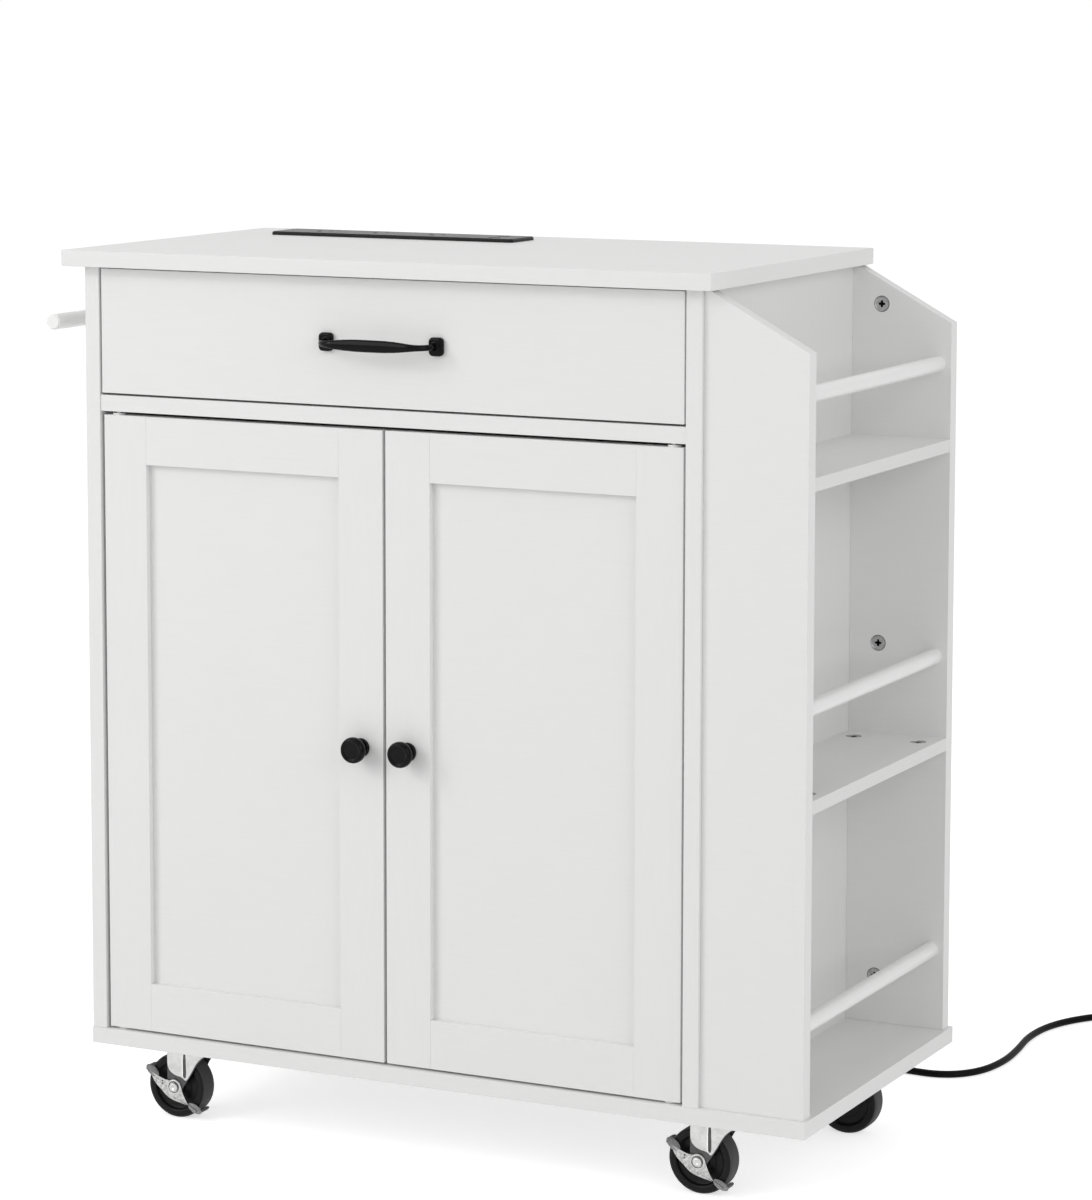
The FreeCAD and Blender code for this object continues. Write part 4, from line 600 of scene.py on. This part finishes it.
def turned(name, profile, segments=64, square=None):
    """A piece grown along Z from (radius, height) pairs in millimetres, round or square."""
    clear_selection()
    radius, height = (value / 1000 for value in profile[0])
    if square is None:
        bpy.ops.mesh.primitive_circle_add(vertices=segments, radius=radius, fill_type="NGON")
    else:
        bpy.ops.mesh.primitive_plane_add(size=2 * radius)
    piece = fresh(name)
    open_mesh()
    if square is not None:
        bpy.ops.mesh.bevel(offset=square * radius, segments=6, affect="VERTICES")
        bpy.ops.mesh.select_all(action="SELECT")
    bpy.ops.transform.translate(value=(0, 0, height))
    for (old, low), (new, high) in zip(profile, profile[1:]):
        rise = (0, 0, (high - low) / 1000)
        bpy.ops.mesh.extrude_region_move(TRANSFORM_OT_translate={"value": rise})
        bpy.ops.transform.resize(value=(new / old, new / old, 1),
                                 center_override=(0, 0, high / 1000))
    return close_up(piece)


def sheet(name, outline, depth):
    """A flat piece with an outline of (right, up) pairs in millimetres, thickened backwards."""
    clear_selection()
    bpy.ops.mesh.primitive_plane_add(size=0.001)
    piece = fresh(name)
    open_mesh()
    bpy.ops.mesh.merge(type="CENTER")
    bpy.ops.transform.translate(value=(outline[0][0] / 1000, 0, outline[0][1] / 1000))
    for before, after in zip(outline, outline[1:]):
        step = ((after[0] - before[0]) / 1000, 0, (after[1] - before[1]) / 1000)
        bpy.ops.mesh.extrude_vertices_move(TRANSFORM_OT_translate={"value": step})
    bpy.ops.mesh.select_all(action="SELECT")
    bpy.ops.mesh.edge_face_add()
    bpy.ops.mesh.extrude_region_move(TRANSFORM_OT_translate={"value": (0, depth, 0)})
    return close_up(piece)


def block(name, size, place):
    """A box of a given size about a place."""
    clear_selection()
    bpy.ops.mesh.primitive_cube_add(size=1, location=place)
    piece = fresh(name)
    piece.scale = size
    return settle(piece, place)


def fixed(piece):
    """Makes a piece's place, turn and scale part of its mesh."""
    choose(piece)
    bpy.ops.object.transform_apply(location=True, rotation=True, scale=True)
    return piece


def settle(piece, place=(0, 0, 0), turn=(0, 0, 0)):
    """Moves a piece to its place and fixes it there."""
    piece.location = place
    piece.rotation_euler = turn
    return fixed(piece)


def another(piece, name):
    """One more of a modelled piece, with its own mesh."""
    choose(piece)
    bpy.ops.object.duplicate()
    return fresh(name)


def discard(*pieces):
    for piece in pieces:
        choose(piece)
        bpy.ops.object.delete()


def joined(name, *pieces):
    """Several meshes made one piece."""
    clear_selection()
    for piece in pieces:
        piece.select_set(True)
    bpy.context.view_layer.objects.active = pieces[0]
    bpy.ops.object.join()
    return fresh(name)


def mirrored(piece, axis):
    """A copy of a piece on the other side of the plane through the origin."""
    twin = another(piece, f"{piece.name}_far")
    twin.scale = [-1 if number == axis else 1 for number in range(3)]
    settle(twin)
    open_mesh()
    return close_up(twin)


def cut_cross(piece, reach, width, level, depth):
    """Cuts a cross recess into a piece's upper end, its faces painted near-black as shade; all
    sizes in millimetres.
    """
    half, waist = reach / 2, width / 2
    tip = waist * 0.72
    arm = ((waist, waist), (half, tip), (half, -tip))
    outline = []
    for turn in (0, -1, -2, -3):
        cos, sin = round(math.cos(turn * math.pi / 2)), round(math.sin(turn * math.pi / 2))
        outline += [(x * cos - y * sin, x * sin + y * cos) for x, y in arm]
    tool = settle(sheet("recess", outline, 2 * depth / 1000), (0, 0, (level + depth) / 1000),
                  (-math.pi / 2, 0, 0))
    # The recess's faces take near-black painted shade from the cutter
    coat(tool, "Painted recess shade")
    shaped(piece, "BOOLEAN", object=tool, operation="DIFFERENCE", solver="EXACT",
           material_mode="TRANSFER")
    discard(tool)
    return piece


def rounded(points, times=1):
    """A closed outline with its corners cut, once or more."""
    for _ in range(times):
        cut = []
        for here, there in zip(points, [*points[1:], points[0]]):
            for share in (0.75, 0.25):
                cut.append([here[axis] * share + there[axis] * (1 - share) for axis in (0, 1)])
        points = cut
    return points


def paint_faces(piece, material, chosen):
    """Gives a second finish to the faces that a rule picks."""
    piece.data.materials.append(bpy.data.materials[material])
    number = len(piece.data.materials) - 1
    for face in piece.data.polygons:
        if chosen(face):
            face.material_index = number


def off_axis(face):
    """How far a face's middle is from the axis of a turned piece."""
    return math.hypot(face.center.x, face.center.y)


def axle_place(corner):
    """The middle of a caster's axle."""
    across, back, way = CASTER_PLACES[corner]
    return across - way * TRAIL, back, AXLE_HEIGHT


def copy_of(node, name):
    """A merged copy of one of the solids."""
    twin = another(frame["nodes"][node], name)
    bpy.ops.object.parent_clear(type="CLEAR_KEEP_TRANSFORM")
    open_mesh()
    bpy.ops.mesh.remove_doubles(threshold=MERGE_DISTANCE)
    bpy.ops.object.mode_set(mode="OBJECT")
    bpy.ops.mesh.customdata_custom_splitnormals_clear()
    return twin


def stand_for(piece, node, body):
    """Shows a modelled piece in place of one of the solids, moving with its body."""
    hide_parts(node)
    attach(piece, body)
    return piece


class TROLLEY_OT_camera(bpy.types.Operator):
    """Stand the camera in front and to the right, at the photograph's angle"""
    bl_idname = "trolley.camera"
    bl_label = "Camera"

    def execute(self, context):
        clear_selection()
        bpy.ops.object.camera_add(location=CAMERA_PLACE)
        camera = context.object
        camera.name = "Photograph_angle"
        turn, dip = math.radians(CAMERA_TURN), math.radians(CAMERA_DIP)
        roll = math.radians(CAMERA_ROLL)
        ahead = Vector((-math.sin(turn) * math.cos(dip), math.cos(turn) * math.cos(dip),
                        -math.sin(dip)))
        right = Vector((math.cos(turn), math.sin(turn), 0.0))
        up = right.cross(ahead)
        leant_right = right * math.cos(roll) + up * math.sin(roll)
        leant_up = up * math.cos(roll) - right * math.sin(roll)
        camera.rotation_euler = Matrix((leant_right, leant_up, -ahead)).transposed().to_euler()
        camera.data.lens = CAMERA_LENS
        camera.data.shift_y = (CENTRE_ROW - PICTURE_ROWS / 2) / PICTURE_ROWS
        camera.data.clip_end = 100
        context.scene.camera = camera
        return {"FINISHED"}


class TROLLEY_OT_cord(bpy.types.Operator):
    """Lay the mains cord from the strain relief to its coil and plug"""
    bl_idname = "trolley.cord"
    bl_label = "Mains cord"

    def execute(self, context):
        diameter = context.scene.trolley_sizes.cord_diameter
        points = list(CORD_ROUTE)
        lift = math.cos(math.pi / 4 * COIL_STEP)
        for number in range(round(COIL_QUARTERS / COIL_STEP)):
            quarter = (number + 0.5) * COIL_STEP
            radius = (COIL_INNER + COIL_PITCH * abs(quarter - COIL_MIDDLE) / 4) / lift
            angle = math.pi / 2 * (1 - quarter)
            climb = min(max((quarter - COIL_MIDDLE + 1) / 2, 0.0), 1.0)
            climb = climb * climb * (3 - 2 * climb)
            points.append((COIL_CENTRE[0] + radius * math.cos(angle),
                           COIL_CENTRE[1] + radius * math.sin(angle),
                           CORD_ROUTE[-1][2] + COIL_PITCH * climb))
        outer = COIL_INNER + COIL_PITCH * (COIL_QUARTERS - COIL_MIDDLE) / 4
        top = CORD_ROUTE[-1][2] + COIL_PITCH
        points.append((COIL_CENTRE[0] + outer, COIL_CENTRE[1], top))
        points.append((COIL_CENTRE[0] + outer, COIL_CENTRE[1] - PLUG_LEAD, top))
        line = bpy.data.curves.new("mains_cord", "CURVE")
        line.dimensions = "3D"
        spline = line.splines.new("NURBS")
        spline.points.add(len(points) - 1)
        for point, place in zip(spline.points, points):
            point.co = (*place, 1.0)
        spline.order_u = 3
        spline.use_endpoint_u = True
        spline.resolution_u = 8
        line.bevel_depth = diameter / 2
        line.bevel_resolution = 5
        line.use_fill_caps = True
        cord = bpy.data.objects.new("mains_cord", line)
        context.scene.collection.objects.link(cord)
        line.materials.append(bpy.data.materials["Black rubber"])
        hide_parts("power_cord", "cord_coil")
        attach(cord, "cabinet")
        return {"FINISHED"}


def directly_seen(tree):
    """A mask that is 1 for camera, glossy and transmission rays, and 0 for the light itself."""
    rays = add_node(tree, "ShaderNodeLightPath").outputs
    reflected = maths(tree, "MAXIMUM", rays["Is Glossy Ray"], rays["Is Transmission Ray"])
    return maths(tree, "MAXIMUM", rays["Is Camera Ray"], reflected)


class TROLLEY_OT_stage(bpy.types.Operator):
    """Set the white floor, the soft lamps and the pale surroundings"""
    bl_idname = "trolley.stage"
    bl_label = "Stage and lamps"

    def execute(self, context):
        colours = context.scene.trolley_colours
        clear_selection()
        bpy.ops.mesh.primitive_plane_add(size=FLOOR_SIZE, location=(0, 0, 0))
        floor = context.object
        floor.name = "Studio_floor"
        paper = bpy.data.materials.new("Studio paper")
        tree = empty_tree(paper)
        seen = directly_seen(tree)
        matt = add_node(tree, "ShaderNodeBsdfDiffuse", {"Color": opaque(colours.floor)})
        glow = add_node(tree, "ShaderNodeEmission", {
            "Color": WHITE, "Strength": maths(tree, "MULTIPLY", seen, FLOOR_GLOW)})
        both = add_node(tree, "ShaderNodeAddShader", {0: matt.outputs[0], 1: glow.outputs[0]})
        add_node(tree, "ShaderNodeOutputMaterial", {"Surface": both.outputs[0]})
        floor.data.materials.append(paper)
        for name, place, size, power in LAMPS:
            clear_selection()
            bpy.ops.object.light_add(type="AREA", location=place)
            lamp = context.object
            lamp.name = name
            lamp.data.size = size
            lamp.data.energy = power
            aim = Vector(LAMP_AIM) - Vector(place)
            lamp.rotation_euler = aim.to_track_quat("-Z", "Y").to_euler()
        world = bpy.data.worlds.new("Studio")
        context.scene.world = world
        tree = empty_tree(world)
        strength = spread(tree, directly_seen(tree), 0.0, 1.0, SKY_LIGHT, SKY_SEEN)
        sky = add_node(tree, "ShaderNodeBackground", {"Color": WHITE, "Strength": strength})
        add_node(tree, "ShaderNodeOutputWorld", {"Surface": sky.outputs[0]})
        context.scene.view_settings.view_transform = "Standard"
        return {"FINISHED"}


class TROLLEY_OT_boards(bpy.types.Operator):
    """Finish the laminated boards, the doors' frames and the back sheet"""
    bl_idname = "trolley.boards"
    bl_label = "Boards"

    def execute(self, context):
        ease = context.scene.trolley_sizes.board_ease
        for names, material in ((LEVEL_BOARDS, "Laminate along width"),
                                (UPRIGHT_BOARDS, "Laminate upright"),
                                (DEEP_BOARDS, "Laminate along depth")):
            for name in names:
                coat(ease_edges(name, ease), material)
        for name in ("back_panel", "drawer_bottom"):
            coat(frame["nodes"][name], "Painted back sheet")
        return {"FINISHED"}


class TROLLEY_OT_rails(bpy.types.Operator):
    """Finish the rack's rails and the towel rail with its arms"""
    bl_idname = "trolley.rails"
    bl_label = "Rails"

    def execute(self, context):
        for name in ("rack_upper_rail", "rack_middle_rail", "rack_lower_rail", "towel_rail",
                     "towel_front_arm", "towel_rear_arm"):
            coat(frame["nodes"][name], "White lacquer")
        return {"FINISHED"}


class TROLLEY_OT_pull(bpy.types.Operator):
    """Cast the drawer pull with its necks flowing into its feet"""
    bl_idname = "trolley.pull"
    bl_label = "Drawer pull"

    def execute(self, context):
        pull = copy_of("drawer_pull", "cast_drawer_pull")
        shaped(pull, "REMESH", mode="VOXEL", voxel_size=PULL_GRAIN)
        shaped(pull, "SMOOTH", factor=0.5, iterations=PULL_PASSES)
        shaped(pull, "DECIMATE", ratio=PULL_SHARE)
        smoothed(pull, 60.0)
        coat(pull, "Satin black paint")
        stand_for(pull, "drawer_pull", "drawer")
        return {"FINISHED"}


class TROLLEY_OT_knobs(bpy.types.Operator):
    """Turn the two door knobs with a rose, a waisted neck and a rimmed face"""
    bl_idname = "trolley.knobs"
    bl_label = "Door knobs"

    def execute(self, context):
        first = smoothed(turned("left_turned_knob", KNOB_PROFILE, 72), 50.0)
        coat(first, "Gloss black paint")
        second = another(first, "right_turned_knob")
        for side, knob in zip(SIDES, (first, second)):
            settle(knob, (KNOB_ACROSS[side], KNOB_FACE, KNOB_HEIGHT), WAYS["front"])
            stand_for(knob, f"{side}_door_knob", f"{side}_door")
        return {"FINISHED"}


class TROLLEY_OT_cams(bpy.types.Operator):
    """Cast the cam fittings with a rim and a cross recess, with painted shade on the rim's outer
    ring and in the recess
    """
    bl_idname = "trolley.cams"
    bl_label = "Cam fittings"

    def execute(self, context):
        first = coat(turned("cam_fitting", CAM_PROFILE, 48), "Cam alloy")
        # Painted shade: a dark ring on the cam's outer edge for the shadow at the rim of its hole;
        # the cross recess is painted near-black as shade
        paint_faces(first, "Zinc with painted shade", lambda face: off_axis(face) > CAM_SHADE_RADIUS)
        smoothed(cut_cross(first, *CAM_CROSS))
        cams = [another(first, f"cam_fitting_{number}") for number in range(len(CAM_PLACES))]
        for cam, (place, way) in zip(cams, CAM_PLACES):
            sink = {"front": (0, CAM_DEPTH, 0), "back": (0, -CAM_DEPTH, 0),
                    "up": (0, 0, -CAM_DEPTH)}[way]
            settle(cam, [at + move for at, move in zip(place, sink)], WAYS[way])
        discard(first)
        stand_for(joined("cast_cam_fittings", *cams), "cam_fittings", "cabinet")
        return {"FINISHED"}


class TROLLEY_OT_fittings(bpy.types.Operator):
    """Finish the runners, the shelf pins and the doors' pivots"""
    bl_idname = "trolley.fittings"
    bl_label = "Runners and pivots"

    def execute(self, context):
        nodes = frame["nodes"]
        for name in ("shelf_pins", "door_pivot_pins"):
            coat(nodes[name], "Zinc plate")
        for name in ("left_fixed_runner", "right_fixed_runner", "left_drawer_runner",
                     "right_drawer_runner"):
            coat(ease_edges(name, FITTING_EASE), "Zinc plate")
        for side in SIDES:
            coat(nodes[f"{side}_door_bushings"], "White plastic")
        return {"FINISHED"}


class TROLLEY_OT_power_strip(bpy.types.Operator):
    """Finish the power strip and mould its ribbed strain relief"""
    bl_idname = "trolley.power_strip"
    bl_label = "Power strip"

    def execute(self, context):
        for name in ("power_strip_cover", "power_strip_body"):
            coat(ease_edges(name, FITTING_EASE), "Black plastic")
        profile = list(RELIEF_FOOT)
        for rib in range(RIB_COUNT):
            height = RIB_START + rib * RIB_PITCH
            radius = RIB_RADIUS - rib * RIB_TAPER
            groove = radius - RIB_DEPTH
            profile += [(groove, height), (groove, height + 1.4),
                        (radius, height + 1.9), (radius, height + 3.2)]
        relief = turned("ribbed_strain_relief", [*profile, *RELIEF_TIP], 40)
        eased(relief, 0.0002, 2, 50.0)
        smoothed(relief)
        settle(relief, RELIEF_PLACE, WAYS["back"])
        coat(relief, "Black rubber")
        stand_for(relief, "cord_strain_relief", "cabinet")
        return {"FINISHED"}


class TROLLEY_OT_plug(bpy.types.Operator):
    """Finish the mains plug and its blades"""
    bl_idname = "trolley.plug"
    bl_label = "Mains plug"

    def execute(self, context):
        coat(ease_edges("mains_plug", 0.0006), "Black rubber")
        coat(ease_edges("mains_plug_pins", FITTING_EASE), "Blade metal")
        return {"FINISHED"}


class TROLLEY_OT_caster_plates(bpy.types.Operator):
    """Press the casters' mounting plates and raceways, and drive their screws"""
    bl_idname = "trolley.caster_plates"
    bl_label = "Caster plates"

    def execute(self, context):
        half = PLATE_WIDTH / 2
        plate = turned("plate", ((half, -2.0), (half, 0.0)), square=0.22)
        plate.scale = (PLATE_LENGTH / PLATE_WIDTH, 1, 1)
        settle(plate)
        eased(plate, 0.0004)
        race = smoothed(turned("race", RACEWAY_PROFILE), 40.0)
        screw = coat(turned("screw", SCREW_PROFILE, 32), "Zinc plate")
        # The screws' cross recesses carry near-black painted shade
        smoothed(settle(cut_cross(screw, *SCREW_CROSS), (0, 0, SCREW_SINK)))
        screws = []
        for across in (-SCREW_ACROSS, SCREW_ACROSS):
            for back in (-SCREW_BACK, SCREW_BACK):
                screws.append(settle(another(screw, "screw"), (across / 1000, back / 1000, 0)))
        discard(screw)
        for piece in (plate, race):
            coat(piece, "Zinc plate")
        whole = smoothed(joined("caster_plate", plate, race, *screws))
        plates = []
        for corner, (across, back, _) in CASTER_PLACES.items():
            plates.append(settle(another(whole, corner), (across, back, PLATE_HEIGHT)))
        discard(whole)
        stand_for(joined("pressed_caster_plates", *plates), "caster_plates", "cabinet")
        return {"FINISHED"}


class TROLLEY_OT_forks(bpy.types.Operator):
    """Stamp the casters' forks with their pressed panel, rib and riveted axle, with painted shade
    on the legs and ribs and a painted highlight on a thin strip beside each rib
    """
    bl_idname = "trolley.forks"
    bl_label = "Caster forks"

    def execute(self, context):
        ease = context.scene.trolley_sizes.steel_ease
        leg = eased(sheet("leg", LEG_OUTLINE, LEG_SHEET), ease)
        settle(leg, (0, -LEG_FACE, 0))
        panel = sheet("panel", rounded(PRESSED_OUTLINE), PANEL_SHEET)
        eased(panel, PANEL_SHEET / 2, 3)
        settle(panel, (0, -PANEL_FACE, 0))
        rib = turned("rib", RIB_PROFILE, 24)
        highlight_strip = another(rib, "highlight_strip")
        highlight_strip.scale = HIGHLIGHT_STRIP_SQUEEZE
        settle(highlight_strip, HIGHLIGHT_STRIP_PLACE)
        rib.scale = RIB_SQUEEZE
        settle(rib, RIB_PLACE)
        # Painted shade on each leg's face and on the rib, and a painted highlight on the thin strip
        # beside the rib
        for piece, material in ((leg, "Zinc with painted shade"), (panel, "Zinc plate"), (rib, "Zinc with painted shade"),
                                (highlight_strip, "Zinc with painted highlight")):
            coat(piece, material)
        near = joined("near_leg", leg, panel, rib, highlight_strip)
        far = mirrored(near, 1)
        crown = eased(block("crown", CROWN_SIZE, CROWN_PLACE), 0.0009)
        race = turned("lower_race", LOWER_RACE_PROFILE)
        settle(race, (TRAIL, 0, 0))
        rivet = turned("rivet", RIVET_PROFILE, 36)
        for piece in (crown, race, rivet):
            coat(piece, "Zinc plate")
        body = joined("fork", near, far, crown, race)
        for corner, (_, _, way) in CASTER_PLACES.items():
            reach = RIVET_FACE if way > 0 else LEG_FACE
            front = settle(another(rivet, "front_head"), (0, -reach, 0), WAYS["front"])
            rear = settle(another(rivet, "rear_head"), (0, LEG_FACE, 0), WAYS["back"])
            span = (reach + LEG_FACE) * 1000
            shank = turned("shank", ((3.0, -span / 2), (3.0, span / 2)), 32)
            settle(shank, (0, (LEG_FACE - reach) / 2, 0), WAYS["front"])
            coat(shank, "Zinc plate")
            fork = joined(f"{corner}_stamped_fork", another(body, "fork"), front, rear, shank)
            settle(fork, axle_place(corner), (0, 0, 0 if way > 0 else math.pi))
            smoothed(fork)
            stand_for(fork, f"{corner}_fork", f"{corner}_swivel")
        discard(body, rivet)
        return {"FINISHED"}


class TROLLEY_OT_wheels(bpy.types.Operator):
    """Mould the wheels with a dished side, a ringed web and a matt tread"""
    bl_idname = "trolley.wheels"
    bl_label = "Wheels"

    def execute(self, context):
        profile = [(radius, -half) for radius, half in WHEEL_SIDE]
        profile += [(31.0, -4.0), (31.0, 0.0), (31.0, 4.0)]
        profile += [(radius, half) for radius, half in reversed(WHEEL_SIDE)]
        wheel = coat(smoothed(turned("wheel", profile, 96), 50.0), "Wheel plastic")
        paint_faces(wheel, "Wheel tread", lambda face: off_axis(face) > TREAD_RADIUS)
        for corner in CASTER_PLACES:
            one = another(wheel, f"{corner}_moulded_wheel")
            settle(one, axle_place(corner), WAYS["front"])
            stand_for(one, f"{corner}_wheel", f"{corner}_roller")
        discard(wheel)
        return {"FINISHED"}


class TROLLEY_OT_levers(bpy.types.Operator):
    """Press the front casters' brake levers with a rim, a boss and two knurled pedals, with a
    painted highlight on the rim and the pads' lower edges and painted shade on the slope, the
    boss's hollow and the pips
    """
    bl_idname = "trolley.levers"
    bl_label = "Brake levers"

    def execute(self, context):
        ease = context.scene.trolley_sizes.steel_ease
        plate = sheet("plate", rounded(LEVER_OUTLINE, 2), LEVER_SHEET)
        for face in plate.data.polygons:
            face.select = face.normal.y < -0.9
        bpy.ops.object.mode_set(mode="EDIT")
        bpy.ops.mesh.inset(thickness=LEVER_RIM, depth=0, use_even_offset=True)
        bpy.ops.mesh.inset(thickness=LEVER_SLOPE, depth=-LEVER_DISH, use_even_offset=True)
        bpy.ops.object.mode_set(mode="OBJECT")
        settle(plate, (0, -LEVER_FACE, 0))
        coat(plate, "Zinc plate")
        dish = LEVER_DISH - LEVER_FACE
        seat = dish - 0.0001
        # Painted highlight on the flat rim, and painted shade on the slope inside it
        paint_faces(plate, "Zinc with painted highlight", lambda face: face.center.y < -LEVER_FACE + 0.00005)
        paint_faces(plate, "Zinc with painted shade", lambda face: -LEVER_FACE + 0.0001 < face.center.y < seat)
        paint_faces(plate, "Mottled zinc", lambda face: abs(face.center.y - dish) < 0.00003)
        boss = coat(turned("boss", BOSS_PROFILE, 48), "Zinc plate")
        # Painted shade in the boss's hollow
        paint_faces(boss, "Zinc with painted shade", lambda face: off_axis(face) < BOSS_SHADE_RADIUS)
        settle(boss, (0, seat, 0), WAYS["front"])
        pips = [settle(turned("pip", PIP_PROFILE, 16), (right, seat, up), WAYS["front"])
                for right, up in PIP_PLACES]
        # The pips are painted dark as shade
        for piece in pips:
            coat(piece, "Zinc with painted shade")
        parts = [plate, boss, *pips]
        for across, up, long, high, slope in PADS:
            turns = [number * math.tau / PAD_POINTS for number in range(PAD_POINTS)]
            oval = [(long * math.cos(turn), high * math.sin(turn)) for turn in turns]
            pad = eased(sheet("pad", oval, PAD_SHEET), FITTING_EASE)
            # Knurled pad, its darker colour partly painted shade
            coat(pad, "Knurled steel with painted shade")
            # Painted highlight on the pad's lower edge faces
            paint_faces(pad, "Zinc with painted highlight",
                        lambda face: abs(face.normal.y) < 0.5 and face.center.z < 0)
            parts.append(settle(pad, (across / 1000, -PAD_FACE, up / 1000),
                                (PAD_LEAN, math.radians(slope), 0)))
        for root, tip, neck in PEDALS:
            run, rise = tip[0] - root[0], tip[1] - root[1]
            length = math.hypot(run, rise)
            inner = length * neck
            outline = ((0, 0), (length, 0), (length, PEDAL_DEPTH), (inner, PEDAL_DEPTH),
                       (inner, NECK_DEPTH), (0, NECK_DEPTH))
            thickness = math.copysign(LEVER_SHEET, run)
            pedal = eased(sheet("pedal", rounded(outline), thickness), ease)
            # Knurled pedal, its darker colour partly painted shade
            coat(pedal, "Knurled steel with painted shade")
            along = Vector((run, 0, rise)).normalized()
            across = Vector((0, 1, 0)).cross(along)
            pedal.matrix_world = (Matrix.Translation((root[0] / 1000, -LEVER_FACE, root[1] / 1000))
                                  @ Matrix((along, across, (0, 1, 0))).transposed().to_4x4())
            parts.append(fixed(pedal))
        lever = smoothed(joined("lever", *parts))
        for corner in BRAKED_CORNERS:
            one = settle(another(lever, f"{corner}_pressed_lever"), axle_place(corner))
            stand_for(one, f"{corner}_lever", f"{corner}_brake")
        discard(lever)
        return {"FINISHED"}


OPERATORS = (TROLLEY_OT_camera, TROLLEY_OT_cord, TROLLEY_OT_boards, TROLLEY_OT_rails,
             TROLLEY_OT_pull, TROLLEY_OT_knobs, TROLLEY_OT_cams, TROLLEY_OT_fittings,
             TROLLEY_OT_power_strip, TROLLEY_OT_plug, TROLLEY_OT_caster_plates,
             TROLLEY_OT_forks, TROLLEY_OT_wheels, TROLLEY_OT_levers, TROLLEY_OT_stage)


class TROLLEY_PT_panel(bpy.types.Panel):
    """The trolley's sizes, colours and pieces"""
    bl_idname = "TROLLEY_PT_panel"
    bl_label = "Kitchen Trolley"
    bl_space_type = "VIEW_3D"
    bl_region_type = "UI"
    bl_category = "Trolley"

    def draw(self, context):
        for settings in (context.scene.trolley_sizes, context.scene.trolley_colours):
            box = self.layout.box()
            for key in settings.__annotations__:
                box.prop(settings, key)
        column = self.layout.column(align=True)
        for operator in OPERATORS:
            column.operator(operator.bl_idname, text=operator.bl_label)


CLASSES = (TrolleyColours, TrolleySizes, *OPERATORS, TROLLEY_PT_panel)


def register():
    for item in CLASSES:
        bpy.utils.register_class(item)
    bpy.types.Scene.trolley_colours = PointerProperty(type=TrolleyColours)
    bpy.types.Scene.trolley_sizes = PointerProperty(type=TrolleySizes)


def unregister():
    del bpy.types.Scene.trolley_sizes
    del bpy.types.Scene.trolley_colours
    for item in reversed(CLASSES):
        bpy.utils.unregister_class(item)


def main():
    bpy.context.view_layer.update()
    register()
    make_materials(bpy.context.scene.trolley_colours)
    for operator in OPERATORS:
        group, name = operator.bl_idname.split(".")
        getattr(getattr(bpy.ops, group), name)()
    clear_selection()


if __name__ == "__main__":
    main()
